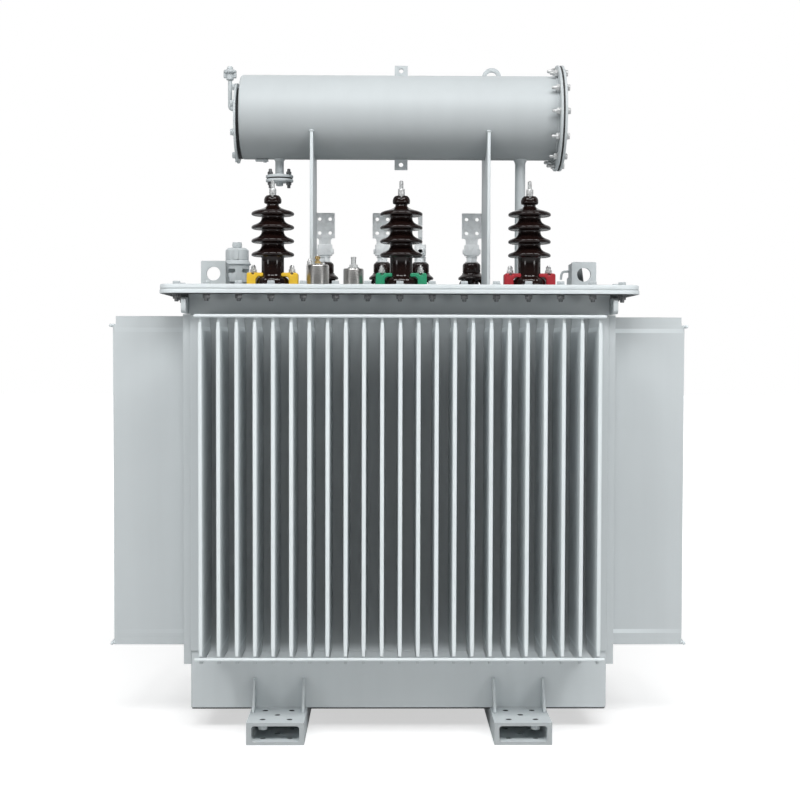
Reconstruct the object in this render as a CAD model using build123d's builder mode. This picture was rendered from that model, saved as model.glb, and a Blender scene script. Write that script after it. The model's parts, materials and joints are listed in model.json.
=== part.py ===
import os

from build123d import *

os.makedirs("parts", exist_ok=True)

# Millimetres. X runs to the right along the tank, Y away from the viewer, Z up from the floor.

# Skids
skid_spacing = 660
skid_width = 154
skid_height = 60
skid_wall = 9
skid_side_wall = 13
skid_length = 828
skid_inner_radius = 8
skid_hole_radius = 8.5
skid_hole_inset = 84
skid_hole_pitch_x = 72
skid_hole_pitch_y = 94
gusset_thickness = 8
gusset_offset = 68
gusset_reach = 57
gusset_height = 84
gusset_tip = 10

# Tank
tank_length = 1148
tank_width = 510
tank_wall = 6
floor_thickness = 10
tank_body_top = 1148
upper_frame_step = 4
upper_frame_wall = 10
flange_underside = 1202
flange_thickness = 10
flange_overhang = 74
flange_corner_radius = 46
gasket_thickness = 3
gasket_inset = 1.5
cover_thickness = 12
cover_inset = 1.5
cover_edge_radius = 2

# Cooling fins
fin_thickness = 11
pressed_thickness = 4
pressed_strip = 10
pressed_slope = 34
rod_notch = 22
rod_notch_depth = 8
fin_bottom = 224
fin_top = 1143
long_fin_pitch = 47.5
long_fin_margin = 51.5
long_fin_depth = 190
long_sheet = 7
long_sheet_margin = 2
side_fin_pitch = 47.5
side_fin_margin = 65
side_fin_depth = 203
side_frame = 20
side_frame_bottom = 182
side_frame_top = 1147
window_margin = 30
rod_radius = 4.5
rod_overhang = 12
long_top_rod_inset = 5
long_bottom_rod_inset = 13
side_top_rod_inset = 26
side_bottom_rod_inset = 5

# Holed tabs under the cover
tab_thickness = 13
tab_bottom = 1149
tab_height = 43
tab_reach = 56
tab_grip = 70
tab_corner_radius = 12
tab_hole_radius = 6

# Lifting lugs
lug_inset_x = 43.5
lug_inset_y = 200
lug_width = 71
lug_height = 79
lug_thickness = 14
lug_hole_radius = 20
lug_hole_height = 42.5
lug_corner_radius = 4
lug_rib_thickness = 10
lug_rib_depth = 96
lug_rib_top_depth = 62

# High-voltage bushings
hv_middle_x = 5
hv_pitch = 360
hv_inset = 93
hv_shed_count = 4
hv_base_radius = 47
hv_base_height = 20
hv_rim_slope = 5
hv_root_radius = 33.5
hv_root_height = 6
hv_core_radius = 31.5
hv_shed_radius = 60
hv_shed_lip = 4
hv_shed_edge = 6
hv_shed_rise = 24
hv_shed_pitch = 38
hv_first_shed = 84
hv_neck_radius = 17
hv_neck_height = 9
hv_cap_radius = 24
hv_cap_height = 24
hv_cap_chamfer = 5
stud_radius = 6
stud_height = 44
terminal_washer_radius = 13
terminal_washer_height = 4
terminal_nut_radius = 11
terminal_nut_height = 15
clamp_tip_radius = 29
clamp_bore_radius = 34.5
clamp_seat_gap = 0.3
clamp_foot_radius = 53
clamp_outer_radius = 72
clamp_height = 40
clamp_arm = 12
clamp_width = 34
clamp_corner_radius = 5
clamp_stud_reach = 54
clamp_notch_width = 16
clamp_notch_depth = 7

# Low-voltage bushings
lv_inset = 77
lv_far_left_x = -223
lv_left_x = -48
lv_right_x = 67
lv_far_right_x = 224
lv_turned = 2
lv_foot_radius = 21
lv_leg_count = 8
lv_leg_thickness = 7
lv_leg_spread = 41
lv_leg_width = 9
lv_leg_top_spread = 30
lv_shed_bottom = 38
lv_shed_radius = 41
lv_shed_edge = 7
lv_shed_top = 55
lv_collar_radius = 30
lv_collar_height = 5
lv_cap_radius = 27.5
lv_cap_top = 90
lv_cap_chamfer = 5
sleeve_radius = 17
sleeve_height = 21
grip_width = 44
grip_depth = 34
grip_height = 37
grip_corner_radius = 8
palm_neck_width = 36
palm_neck_height = 13
palm_width = 60
palm_height = 79
palm_thickness = 12
palm_shoulder = 10
palm_hole_radius = 5.5
palm_hole_pitch_x = 32
palm_hole_pitch_z = 42

# Tap changer
tap_inset_x = 96
tap_clearance = 4
tap_body_radius = 36.5
tap_body_height = 91
tap_brim_radius = 41.5
tap_brim_drop = 13
tap_brim_height = 4
tap_slot_width = 12
tap_slot_length = 32
tap_slot_depth = 30
tap_slot_shift = 7.5
tap_slot_spacing = 50
tap_slot_low = 19
tap_slot_high = 58
tap_hood_radius = 34.5
tap_hood_height = 29
tap_hood_cone = 7
tap_crown_radius = 26
tap_knob_radius = 16
tap_knob_height = 15
tap_knob_chamfer = 4
tap_neck_radius = 11
tap_neck_height = 2

# Stainless fittings
pocket_x = -230
pocket_clearance = 17
pocket_radius = 32
pocket_height = 62
fitting_chamfer = 3
pocket_neck_radius = 9
pocket_neck_height = 11
pocket_valve_radius = 6
pocket_valve_height = 14
relief_x = -129
relief_radius = 28.5
relief_height = 52
relief_collar_radius = 15
relief_collar_height = 10
relief_stud_radius = 7
relief_stud_height = 23

# Conservator
shell_y = 15
shell_z = 1728
shell_radius = 121
shell_wall = 4
shell_left = -458
shell_right = 463
head_thickness = 6
ring_radius = 152
ring_thickness = 7
end_gasket_thickness = 5
end_gasket_inset = 1
end_cover_thickness = 7
plate_drop = 18
plate_radius = 115
plate_thickness = 9
plate_gasket_thickness = 6
plate_gasket_radius = 100
vent_pipe_radius = 6
vent_rise = 24
vent_reach = 20
vent_bend = 8
vent_pipe_top = 1836
vent_cap_radius = 19
vent_cap_height = 28
vent_cap_chamfer = 4
vent_knob_radius = 9
vent_knob_height = 11
saddle_left_x = -250
saddle_right_x = 255
saddle_thickness = 9
saddle_width = 232
saddle_horn_drop = 54
saddle_clearance = 0.2
oil_pipe_x = 355
oil_pipe_radius = 15
oil_pipe_foot_radius = 24
oil_pipe_foot_height = 10
breather_x = -349
breather_pipe_radius = 12.5
breather_flange_radius = 40
breather_flange_thickness = 11
breather_top = 1563
breather_gasket_thickness = 4
breather_gasket_inset = 2
breather_blank_thickness = 12
breather_plug_radius = 10
breather_plug_height = 7
cap_lug_x = 6
cap_lug_width = 38
cap_lug_height = 30
cap_lug_thickness = 10
cap_lug_hole_radius = 6.5
eye_x = 270
eye_outer_radius = 28
eye_inner_radius = 16
eye_sink = 3
eye_thickness = 9

cut_overrun = 5

# Levels and faces that several pieces share
tank_front = tank_width / 2
tank_side = tank_length / 2
frame_front = tank_front + upper_frame_step
frame_side = tank_side + upper_frame_step
flange_top = flange_underside + flange_thickness
cover_bottom = flange_top + gasket_thickness
cover_top = cover_bottom + cover_thickness
cover_length = 2 * (frame_side + flange_overhang)
cover_width = 2 * (frame_front + flange_overhang)
fin_height = fin_top - fin_bottom
fin_middle = (fin_top + fin_bottom) / 2
long_tip = tank_front + long_sheet + long_fin_depth
side_tip = tank_side + side_frame + side_fin_depth
long_fin_count = int((tank_length - 2 * long_fin_margin) / long_fin_pitch) + 1
side_fin_count = int((tank_width - 2 * side_fin_margin) / side_fin_pitch) + 1
long_fin_span = (long_fin_count - 1) * long_fin_pitch
side_fin_span = (side_fin_count - 1) * side_fin_pitch
long_rod_length = long_fin_span + fin_thickness + 2 * rod_overhang
side_rod_length = side_fin_span + fin_thickness + 2 * rod_overhang
hv_cap_bottom = hv_first_shed + (hv_shed_count - 1) * hv_shed_pitch + hv_shed_rise + hv_neck_height
hv_top = hv_cap_bottom + hv_cap_height
hv_places = (hv_middle_x - hv_pitch, hv_middle_x, hv_middle_x + hv_pitch)
lv_places = (lv_far_left_x, lv_left_x, lv_right_x, lv_far_right_x)
hv_y = hv_inset - tank_front
lv_y = tank_front - lv_inset
arm_bottom = clamp_height - clamp_arm
hv_rim_height = arm_bottom - clamp_seat_gap
lug_x = frame_side - lug_inset_x
lug_y = lug_inset_y - tank_front
tap_x = tap_inset_x - frame_side
tap_y = lug_y + lug_thickness + lug_rib_depth + tap_clearance + tap_brim_radius
pocket_y = shell_y - saddle_width / 2 - pocket_radius - pocket_clearance
end_cover_x = shell_right + end_gasket_thickness
plate_gasket_x = shell_left - plate_gasket_thickness
plate_x = plate_gasket_x - plate_thickness
shell_bottom = shell_z - shell_radius
shell_top = shell_z + shell_radius


def save(piece, name):
    piece.part.label = name
    export_step(piece.part, f"parts/{name}.step")


# Plane through a point whose normal is the direction, with its own Y axis upright
def facing(x, y, z, direction):
    across = Vector(0, 0, 1).cross(Vector(*direction))
    return Plane(origin=(x, y, z), x_dir=across, z_dir=direction)


# Skids: a box section with a group of five roller holes through both plates at each end
for side, name in ((-1, "left_skid"), (1, "right_skid")):
    skid_x = side * skid_spacing / 2
    with BuildPart() as skid:
        with BuildSketch(facing(skid_x, 0, skid_height / 2, (0, -1, 0))):
            Rectangle(skid_width, skid_height)
            RectangleRounded(
                skid_width - 2 * skid_side_wall,
                skid_height - 2 * skid_wall,
                skid_inner_radius,
                mode=Mode.SUBTRACT,
            )
        extrude(amount=skid_length / 2, both=True)
        with BuildSketch(Plane((skid_x, 0, -cut_overrun))):
            with GridLocations(0, skid_length - 2 * skid_hole_inset, 1, 2):
                Circle(skid_hole_radius)
                with GridLocations(skid_hole_pitch_x, skid_hole_pitch_y, 2, 2):
                    Circle(skid_hole_radius)
        extrude(amount=skid_height + 2 * cut_overrun, mode=Mode.SUBTRACT)
    save(skid, name)

# Gussets: pairs of sloped plates on each skid end, standing against the tank wall
gusset_places = [
    (side * skid_spacing / 2 + offset, end)
    for side in (-1, 1)
    for offset in (-gusset_offset, gusset_offset)
    for end in (-1, 1)
]
with BuildPart() as skid_gussets:
    for gusset_x, end in gusset_places:
        with BuildSketch(facing(gusset_x, 0, skid_height, (1, 0, 0))):
            Polygon(
                (end * tank_front, 0),
                (end * (tank_front + gusset_reach), 0),
                (end * (tank_front + gusset_reach), gusset_tip),
                (end * (tank_front + gusset_tip), gusset_height),
                (end * tank_front, gusset_height),
                align=None,
            )
        extrude(amount=gusset_thickness / 2, both=True)
save(skid_gussets, "skid_gussets")

# Tank: a welded box, open on top, with a window behind each fin panel
with BuildPart() as tank_body:
    with BuildSketch(Plane.XY.offset(skid_height)):
        Rectangle(tank_length, tank_width)
    extrude(amount=tank_body_top - skid_height)
    with BuildSketch(Plane.XY.offset(skid_height + floor_thickness)):
        Rectangle(tank_length - 2 * tank_wall, tank_width - 2 * tank_wall)
    extrude(amount=tank_body_top - skid_height, mode=Mode.SUBTRACT)
    with BuildSketch(facing(0, 0, fin_middle, (0, -1, 0))):
        Rectangle(tank_length - 2 * window_margin, fin_height - 2 * window_margin)
    extrude(amount=tank_width, both=True, mode=Mode.SUBTRACT)
    with BuildSketch(facing(0, 0, fin_middle, (1, 0, 0))):
        Rectangle(tank_width - 2 * window_margin, fin_height - 2 * window_margin)
    extrude(amount=tank_length, both=True, mode=Mode.SUBTRACT)
save(tank_body, "tank_body")

# Upper frame: an upright band with the cover flange turned outwards
with BuildPart() as tank_upper_frame:
    with BuildSketch(Plane.XY.offset(tank_body_top)):
        Rectangle(2 * frame_side, 2 * frame_front)
    extrude(amount=flange_top - tank_body_top)
    with BuildSketch(Plane.XY.offset(flange_underside)):
        RectangleRounded(cover_length, cover_width, flange_corner_radius)
    extrude(amount=flange_thickness)
    with BuildSketch(Plane.XY.offset(tank_body_top - cut_overrun)):
        Rectangle(2 * (frame_side - upper_frame_wall), 2 * (frame_front - upper_frame_wall))
    extrude(amount=flange_top - tank_body_top + 2 * cut_overrun, mode=Mode.SUBTRACT)
save(tank_upper_frame, "tank_upper_frame")

with BuildPart() as cover_gasket:
    with BuildSketch(Plane.XY.offset(flange_top)):
        RectangleRounded(
            cover_length - 2 * gasket_inset, cover_width - 2 * gasket_inset, flange_corner_radius - gasket_inset
        )
        Rectangle(
            2 * (frame_side - upper_frame_wall), 2 * (frame_front - upper_frame_wall), mode=Mode.SUBTRACT
        )
    extrude(amount=gasket_thickness)
save(cover_gasket, "cover_gasket")

with BuildPart() as cover_plate:
    with BuildSketch(Plane.XY.offset(cover_bottom)):
        RectangleRounded(
            cover_length - 2 * cover_inset, cover_width - 2 * cover_inset, flange_corner_radius - cover_inset
        )
    extrude(amount=cover_thickness)
    chamfer(cover_plate.faces().sort_by(Axis.Z)[-1].edges(), cover_edge_radius)
save(cover_plate, "cover_plate")

# Fin outline seen edge on: full thickness in the middle, pressed flat at both ends
full_half = fin_height / 2 - pressed_strip - pressed_slope
slope_half = fin_height / 2 - pressed_strip
fin_outline = (
    (-pressed_thickness / 2, -fin_height / 2),
    (pressed_thickness / 2, -fin_height / 2),
    (pressed_thickness / 2, -slope_half),
    (fin_thickness / 2, -full_half),
    (fin_thickness / 2, full_half),
    (pressed_thickness / 2, slope_half),
    (pressed_thickness / 2, fin_height / 2),
    (-pressed_thickness / 2, fin_height / 2),
    (-pressed_thickness / 2, slope_half),
    (-fin_thickness / 2, full_half),
    (-fin_thickness / 2, -full_half),
    (-pressed_thickness / 2, -slope_half),
)

# Corrugated walls of the long sides: a base sheet with a row of fins, notched at the tips for the bars
for end, name in ((-1, "front_fin_panel"), (1, "rear_fin_panel")):
    outwards = (0, end, 0)
    with BuildPart() as long_panel:
        with BuildSketch(facing(0, end * tank_front, fin_middle, outwards)):
            Rectangle(tank_length, fin_height + 2 * long_sheet_margin)
        extrude(amount=long_sheet)
        with BuildSketch(facing(0, end * (tank_front + long_sheet), fin_middle, outwards)):
            with GridLocations(long_fin_pitch, 0, long_fin_count, 1):
                Polygon(*fin_outline, align=None)
        extrude(amount=long_fin_depth)
        with BuildSketch(facing(0, end * (long_tip - rod_notch_depth), fin_middle, outwards)):
            with GridLocations(0, fin_height - rod_notch, 1, 2):
                Rectangle(tank_length, rod_notch)
        extrude(amount=rod_notch_depth, mode=Mode.SUBTRACT)
    save(long_panel, name)

# Corrugated walls of the short sides, on a deeper frame
for side, name in ((-1, "left_fin_panel"), (1, "right_fin_panel")):
    outwards = (side, 0, 0)
    frame_middle = (side_frame_top + side_frame_bottom) / 2
    with BuildPart() as side_panel:
        with BuildSketch(facing(side * tank_side, 0, frame_middle, outwards)):
            Rectangle(tank_width, side_frame_top - side_frame_bottom)
        extrude(amount=side_frame)
        with BuildSketch(facing(side * (tank_side + side_frame), 0, fin_middle, outwards)):
            with GridLocations(side_fin_pitch, 0, side_fin_count, 1):
                Polygon(*fin_outline, align=None)
        extrude(amount=side_fin_depth)
        with BuildSketch(facing(side * (side_tip - rod_notch_depth), 0, fin_middle, outwards)):
            with Locations((0, (fin_height - rod_notch) / 2)):
                Rectangle(tank_width, rod_notch)
        extrude(amount=rod_notch_depth, mode=Mode.SUBTRACT)
    save(side_panel, name)

# Round bars across the fin tips: on the long sides they lie in the notches
long_rod_y = long_tip - rod_notch_depth + rod_radius
for end, name in ((-1, "front_fin_rods"), (1, "rear_fin_rods")):
    with BuildPart() as long_rods:
        with BuildSketch(Plane.YZ):
            with Locations(
                (end * long_rod_y, fin_top - long_top_rod_inset),
                (end * long_rod_y, fin_bottom + long_bottom_rod_inset),
            ):
                Circle(rod_radius)
        extrude(amount=long_rod_length / 2, both=True)
    save(long_rods, name)

side_rod_x = side_tip + rod_radius
for side, name in ((-1, "left_fin_rods"), (1, "right_fin_rods")):
    with BuildPart() as side_rods:
        with BuildSketch(Plane.XZ):
            with Locations(
                (side * side_rod_x, fin_top - side_top_rod_inset),
                (side * side_rod_x, fin_bottom + side_bottom_rod_inset),
            ):
                Circle(rod_radius)
        extrude(amount=side_rod_length / 2, both=True)
    save(side_rods, name)

# Tabs: plates against the short sides of the upper frame that reach out past its corners
tab_middle = tab_bottom + tab_height / 2
tab_span = tab_reach + tab_grip
with BuildPart() as corner_tabs:
    for side in (-1, 1):
        for end in (-1, 1):
            tab_y = end * (frame_front + tab_reach - tab_span / 2)
            hole_y = end * (frame_front + tab_reach / 2)
            with BuildSketch(Plane((side * frame_side, 0, 0), x_dir=(0, 1, 0), z_dir=(1, 0, 0))):
                with Locations((tab_y, tab_middle)):
                    RectangleRounded(tab_span, tab_height, tab_corner_radius)
                with Locations((hole_y, tab_middle)):
                    Circle(tab_hole_radius, mode=Mode.SUBTRACT)
            extrude(amount=side * tab_thickness)
save(corner_tabs, "corner_tabs")

# Lifting lugs: a holed plate facing the long side, with a stepped rib behind its inner edge
for side, name in ((-1, "left_lifting_lug"), (1, "right_lifting_lug")):
    rib_x = side * (lug_x - lug_width / 2 + lug_rib_thickness / 2)
    rib_front = lug_y + lug_thickness
    with BuildPart() as lifting_lug:
        with BuildSketch(facing(side * lug_x, lug_y, cover_top + lug_height / 2, (0, 1, 0))):
            lug_face = Rectangle(lug_width, lug_height)
            fillet(lug_face.vertices().group_by(Axis.Z)[-1], lug_corner_radius)
            with Locations((0, lug_hole_height - lug_height / 2)):
                Circle(lug_hole_radius, mode=Mode.SUBTRACT)
        extrude(amount=lug_thickness)
        with BuildSketch(Plane((rib_x, rib_front, cover_top), x_dir=(0, 1, 0), z_dir=(1, 0, 0))):
            Polygon(
                (0, 0),
                (lug_rib_depth, 0),
                (lug_rib_depth, lug_height / 2 - lug_corner_radius),
                (lug_rib_top_depth, lug_height / 2),
                (lug_rib_top_depth, lug_height - lug_corner_radius),
                (0, lug_height - lug_corner_radius),
                align=None,
            )
        extrude(amount=lug_rib_thickness / 2, both=True)
    save(lifting_lug, name)

# High-voltage porcelain: half section from the rimmed foot through the sheds to the cap
hv_outline = [
    (0, 0),
    (hv_base_radius, 0),
    (hv_base_radius, hv_base_height),
    (hv_base_radius - hv_rim_slope, hv_rim_height),
    (hv_root_radius, hv_rim_height),
    (hv_core_radius, hv_rim_height + hv_root_height),
]
for shed in range(hv_shed_count):
    rim = hv_first_shed + shed * hv_shed_pitch
    hv_outline += [
        (hv_core_radius, rim),
        (hv_shed_radius - hv_shed_lip, rim),
        (hv_shed_radius, rim + hv_shed_lip),
        (hv_shed_radius, rim + hv_shed_lip + hv_shed_edge),
        (hv_core_radius, rim + hv_shed_rise),
    ]
hv_outline += [
    (hv_neck_radius, hv_cap_bottom - hv_neck_height),
    (hv_neck_radius, hv_cap_bottom),
    (hv_cap_radius, hv_cap_bottom),
    (hv_cap_radius, hv_top - hv_cap_chamfer),
    (hv_cap_radius - hv_cap_chamfer, hv_top),
    (0, hv_top),
]
with BuildPart() as hv_bushings:
    for hv_x in hv_places:
        section = Plane((hv_x, hv_y, cover_top), x_dir=(1, 0, 0), z_dir=(0, -1, 0))
        with BuildSketch(section):
            Polygon(*hv_outline, align=None)
        revolve(axis=Axis((hv_x, hv_y, cover_top), (0, 0, 1)))
save(hv_bushings, "hv_bushings")

# High-voltage terminals: a stud with its washer and nut on each cap
hv_terminal_base = cover_top + hv_top
with BuildPart() as hv_terminals:
    for hv_x in hv_places:
        with BuildSketch(Plane((hv_x, hv_y, hv_terminal_base))):
            Circle(terminal_washer_radius)
        extrude(amount=terminal_washer_height)
        with BuildSketch(Plane((hv_x, hv_y, hv_terminal_base + terminal_washer_height))):
            RegularPolygon(terminal_nut_radius, 6)
        extrude(amount=terminal_nut_height)
        with BuildSketch(Plane((hv_x, hv_y, hv_terminal_base))):
            Circle(stud_radius)
        extrude(amount=stud_height)
save(hv_terminals, "hv_terminals")

# Hook clamps: one on each side of a bushing, standing on the cover with a forked arm over the rim of the foot,
# and a notch across the top for the stud
notch_floor = clamp_height - clamp_notch_depth
for hv_x, name in zip(hv_places, ("hv_clamps_left", "hv_clamps_middle", "hv_clamps_right")):
    with BuildPart() as hv_clamps:
        for side in (-1, 1):
            with BuildSketch(Plane((hv_x, hv_y, cover_top), x_dir=(1, 0, 0), z_dir=(0, -1, 0))):
                with BuildLine():
                    Polyline(
                        (side * clamp_foot_radius, 0),
                        (side * clamp_outer_radius, 0),
                        (side * clamp_outer_radius, clamp_height - clamp_corner_radius),
                        (side * (clamp_outer_radius - clamp_corner_radius), clamp_height),
                        (side * (clamp_stud_reach + clamp_notch_width / 2), clamp_height),
                        (side * (clamp_stud_reach + clamp_notch_width / 4), notch_floor),
                        (side * (clamp_stud_reach - clamp_notch_width / 4), notch_floor),
                        (side * (clamp_stud_reach - clamp_notch_width / 2), clamp_height),
                        (side * (clamp_tip_radius + clamp_corner_radius), clamp_height),
                        (side * clamp_tip_radius, clamp_height - clamp_corner_radius),
                        (side * clamp_tip_radius, arm_bottom),
                        (side * (clamp_foot_radius - clamp_corner_radius), arm_bottom),
                        (side * clamp_foot_radius, arm_bottom - clamp_corner_radius),
                        close=True,
                    )
                make_face()
            extrude(amount=clamp_width / 2, both=True)
        with BuildSketch(Plane((hv_x, hv_y, cover_top))):
            Circle(clamp_bore_radius)
        extrude(amount=clamp_height, mode=Mode.SUBTRACT)
    save(hv_clamps, name)

# Low-voltage porcelain: splayed legs under a shed, a collar and a capped head
lv_outline = (
    (0, 0),
    (lv_foot_radius, 0),
    (lv_foot_radius, lv_shed_bottom),
    (lv_shed_radius, lv_shed_bottom),
    (lv_shed_radius, lv_shed_bottom + lv_shed_edge),
    (lv_collar_radius, lv_shed_top),
    (lv_collar_radius, lv_shed_top + lv_collar_height),
    (lv_cap_radius, lv_shed_top + lv_collar_height),
    (lv_cap_radius, lv_cap_top - lv_cap_chamfer),
    (lv_cap_radius - lv_cap_chamfer, lv_cap_top),
    (0, lv_cap_top),
)
with BuildPart() as lv_bushings:
    for lv_x in lv_places:
        upright = Plane((lv_x, lv_y, cover_top), x_dir=(1, 0, 0), z_dir=(0, -1, 0))
        with BuildSketch(upright):
            Polygon(*lv_outline, align=None)
        revolve(axis=Axis((lv_x, lv_y, cover_top), (0, 0, 1)))
        turns = [leg * 360 / lv_leg_count for leg in range(lv_leg_count)]
        with BuildSketch(*[upright.rotated((0, 0, turn)) for turn in turns]):
            Polygon(
                (lv_leg_spread - lv_leg_width, 0),
                (lv_leg_spread, 0),
                (lv_leg_top_spread, lv_shed_bottom),
                (0, lv_shed_bottom),
                (0, lv_shed_bottom - lv_leg_width),
                align=None,
            )
        extrude(amount=lv_leg_thickness / 2, both=True)
save(lv_bushings, "lv_bushings")

# Low-voltage terminals: sleeve, grip and a four-hole palm, one of them turned edge on
lv_terminal_base = cover_top + lv_cap_top
grip_base = lv_terminal_base + sleeve_height
palm_base = grip_base + grip_height + palm_neck_height
palm_middle = palm_base + palm_height / 2
with BuildPart() as lv_terminals:
    for place, lv_x in enumerate(lv_places):
        face = (1, 0, 0) if place == lv_turned else (0, -1, 0)
        with BuildSketch(Plane((lv_x, lv_y, lv_terminal_base))):
            Circle(sleeve_radius)
        extrude(amount=sleeve_height)
        with BuildSketch(Plane((lv_x, lv_y, grip_base))):
            RectangleRounded(
                grip_depth if place == lv_turned else grip_width,
                grip_width if place == lv_turned else grip_depth,
                grip_corner_radius,
            )
        extrude(amount=grip_height)
        with BuildSketch(facing(lv_x, lv_y, grip_base, face)):
            Polygon(
                (-palm_neck_width / 2, 0),
                (palm_neck_width / 2, 0),
                (palm_neck_width / 2, grip_height + palm_neck_height - palm_shoulder),
                (palm_width / 2, grip_height + palm_neck_height),
                (palm_width / 2, grip_height + palm_neck_height + palm_height),
                (-palm_width / 2, grip_height + palm_neck_height + palm_height),
                (-palm_width / 2, grip_height + palm_neck_height),
                (-palm_neck_width / 2, grip_height + palm_neck_height - palm_shoulder),
                align=None,
            )
            with Locations((0, palm_middle - grip_base)):
                with GridLocations(palm_hole_pitch_x, palm_hole_pitch_z, 2, 2):
                    Circle(palm_hole_radius, mode=Mode.SUBTRACT)
        extrude(amount=palm_thickness / 2, both=True)
save(lv_terminals, "lv_terminals")

# Tap changer: a body with two rows of windows and a sloped brim, under a coned hood with a hexagonal knob
brim_base = tap_body_height - tap_brim_drop
with BuildPart() as tap_changer_body:
    with BuildSketch(Plane((tap_x, tap_y, cover_top), x_dir=(1, 0, 0), z_dir=(0, -1, 0))):
        Polygon(
            (0, 0),
            (tap_body_radius, 0),
            (tap_body_radius, brim_base - tap_brim_height),
            (tap_brim_radius, brim_base),
            (tap_hood_radius, tap_body_height),
            (0, tap_body_height),
            align=None,
        )
    revolve(axis=Axis((tap_x, tap_y, cover_top), (0, 0, 1)))
    window_middle = (tap_slot_low + tap_slot_high) / 2
    window_x = tap_x + tap_slot_shift
    with BuildSketch(facing(window_x, tap_y - tap_body_radius, cover_top + window_middle, (0, -1, 0))):
        with GridLocations(tap_slot_spacing, tap_slot_high - tap_slot_low, 2, 2):
            SlotOverall(tap_slot_length, tap_slot_width)
    extrude(amount=-tap_slot_depth, mode=Mode.SUBTRACT)
save(tap_changer_body, "tap_changer_body")

tap_hood_base = cover_top + tap_body_height
with BuildPart() as tap_changer_hood:
    with BuildSketch(Plane((tap_x, tap_y, tap_hood_base), x_dir=(1, 0, 0), z_dir=(0, -1, 0))):
        Polygon(
            (0, 0),
            (tap_hood_radius, 0),
            (tap_hood_radius, tap_hood_height),
            (tap_crown_radius, tap_hood_height + tap_hood_cone),
            (tap_neck_radius, tap_hood_height + tap_hood_cone),
            (tap_neck_radius, tap_hood_height + tap_hood_cone + tap_neck_height),
            (0, tap_hood_height + tap_hood_cone + tap_neck_height),
            align=None,
        )
    revolve(axis=Axis((tap_x, tap_y, tap_hood_base), (0, 0, 1)))
    with BuildSketch(Plane((tap_x, tap_y, tap_hood_base + tap_hood_height + tap_hood_cone + tap_neck_height))):
        RegularPolygon(tap_knob_radius, 6)
    extrude(amount=tap_knob_height)
    chamfer(tap_changer_hood.faces().sort_by(Axis.Z)[-1].edges(), tap_knob_chamfer)
save(tap_changer_hood, "tap_changer_hood")

# Stainless fittings: a thermometer pocket with its small valve, and a relief valve with its stud
with BuildPart() as thermometer_pocket:
    with BuildSketch(Plane((pocket_x, pocket_y, cover_top))):
        Circle(pocket_radius)
    extrude(amount=pocket_height)
    chamfer(thermometer_pocket.faces().sort_by(Axis.Z)[-1].edges(), fitting_chamfer)
    with BuildSketch(Plane((pocket_x, pocket_y, cover_top + pocket_height))):
        RegularPolygon(pocket_neck_radius, 6)
    extrude(amount=pocket_neck_height)
    with BuildSketch(Plane((pocket_x, pocket_y, cover_top + pocket_height + pocket_neck_height))):
        Circle(pocket_valve_radius)
    extrude(amount=pocket_valve_height)
save(thermometer_pocket, "thermometer_pocket")

with BuildPart() as relief_valve:
    with BuildSketch(Plane((relief_x, pocket_y, cover_top))):
        Circle(relief_radius)
    extrude(amount=relief_height)
    chamfer(relief_valve.faces().sort_by(Axis.Z)[-1].edges(), fitting_chamfer)
    with BuildSketch(Plane((relief_x, pocket_y, cover_top + relief_height))):
        Circle(relief_collar_radius)
    extrude(amount=relief_collar_height)
    with BuildSketch(Plane((relief_x, pocket_y, cover_top + relief_height + relief_collar_height))):
        Circle(relief_stud_radius)
    extrude(amount=relief_stud_height)
save(relief_valve, "relief_valve")

# Conservator: a lying drum with a welded head on the left, and a flange ring round its open right end
with BuildPart() as conservator_shell:
    with BuildSketch(Plane((shell_left, shell_y, shell_z), x_dir=(0, 1, 0), z_dir=(1, 0, 0))):
        Circle(shell_radius)
    extrude(amount=shell_right - shell_left)
    with BuildSketch(Plane((shell_left + head_thickness, shell_y, shell_z), x_dir=(0, 1, 0), z_dir=(1, 0, 0))):
        Circle(shell_radius - shell_wall)
    extrude(amount=shell_right - shell_left, mode=Mode.SUBTRACT)
save(conservator_shell, "conservator_shell")

with BuildPart() as conservator_ring:
    with BuildSketch(Plane((shell_right, shell_y, shell_z), x_dir=(0, 1, 0), z_dir=(1, 0, 0))):
        Circle(ring_radius)
        Circle(shell_radius, mode=Mode.SUBTRACT)
    extrude(amount=-ring_thickness)
save(conservator_ring, "conservator_ring")

with BuildPart() as conservator_end_gasket:
    with BuildSketch(Plane((shell_right, shell_y, shell_z), x_dir=(0, 1, 0), z_dir=(1, 0, 0))):
        Circle(ring_radius - end_gasket_inset)
        Circle(shell_radius - shell_wall, mode=Mode.SUBTRACT)
    extrude(amount=end_gasket_thickness)
save(conservator_end_gasket, "conservator_end_gasket")

with BuildPart() as conservator_end_cover:
    with BuildSketch(Plane((end_cover_x, shell_y, shell_z), x_dir=(0, 1, 0), z_dir=(1, 0, 0))):
        Circle(ring_radius)
    extrude(amount=end_cover_thickness)
save(conservator_end_cover, "conservator_end_cover")

with BuildPart() as conservator_left_gasket:
    with BuildSketch(Plane((shell_left, shell_y, shell_z - plate_drop), x_dir=(0, 1, 0), z_dir=(1, 0, 0))):
        Circle(plate_gasket_radius)
    extrude(amount=-plate_gasket_thickness)
save(conservator_left_gasket, "conservator_left_gasket")

with BuildPart() as conservator_left_plate:
    with BuildSketch(Plane((plate_gasket_x, shell_y, shell_z - plate_drop), x_dir=(0, 1, 0), z_dir=(1, 0, 0))):
        Circle(plate_radius)
    extrude(amount=-plate_thickness)
save(conservator_left_plate, "conservator_left_plate")

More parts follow.
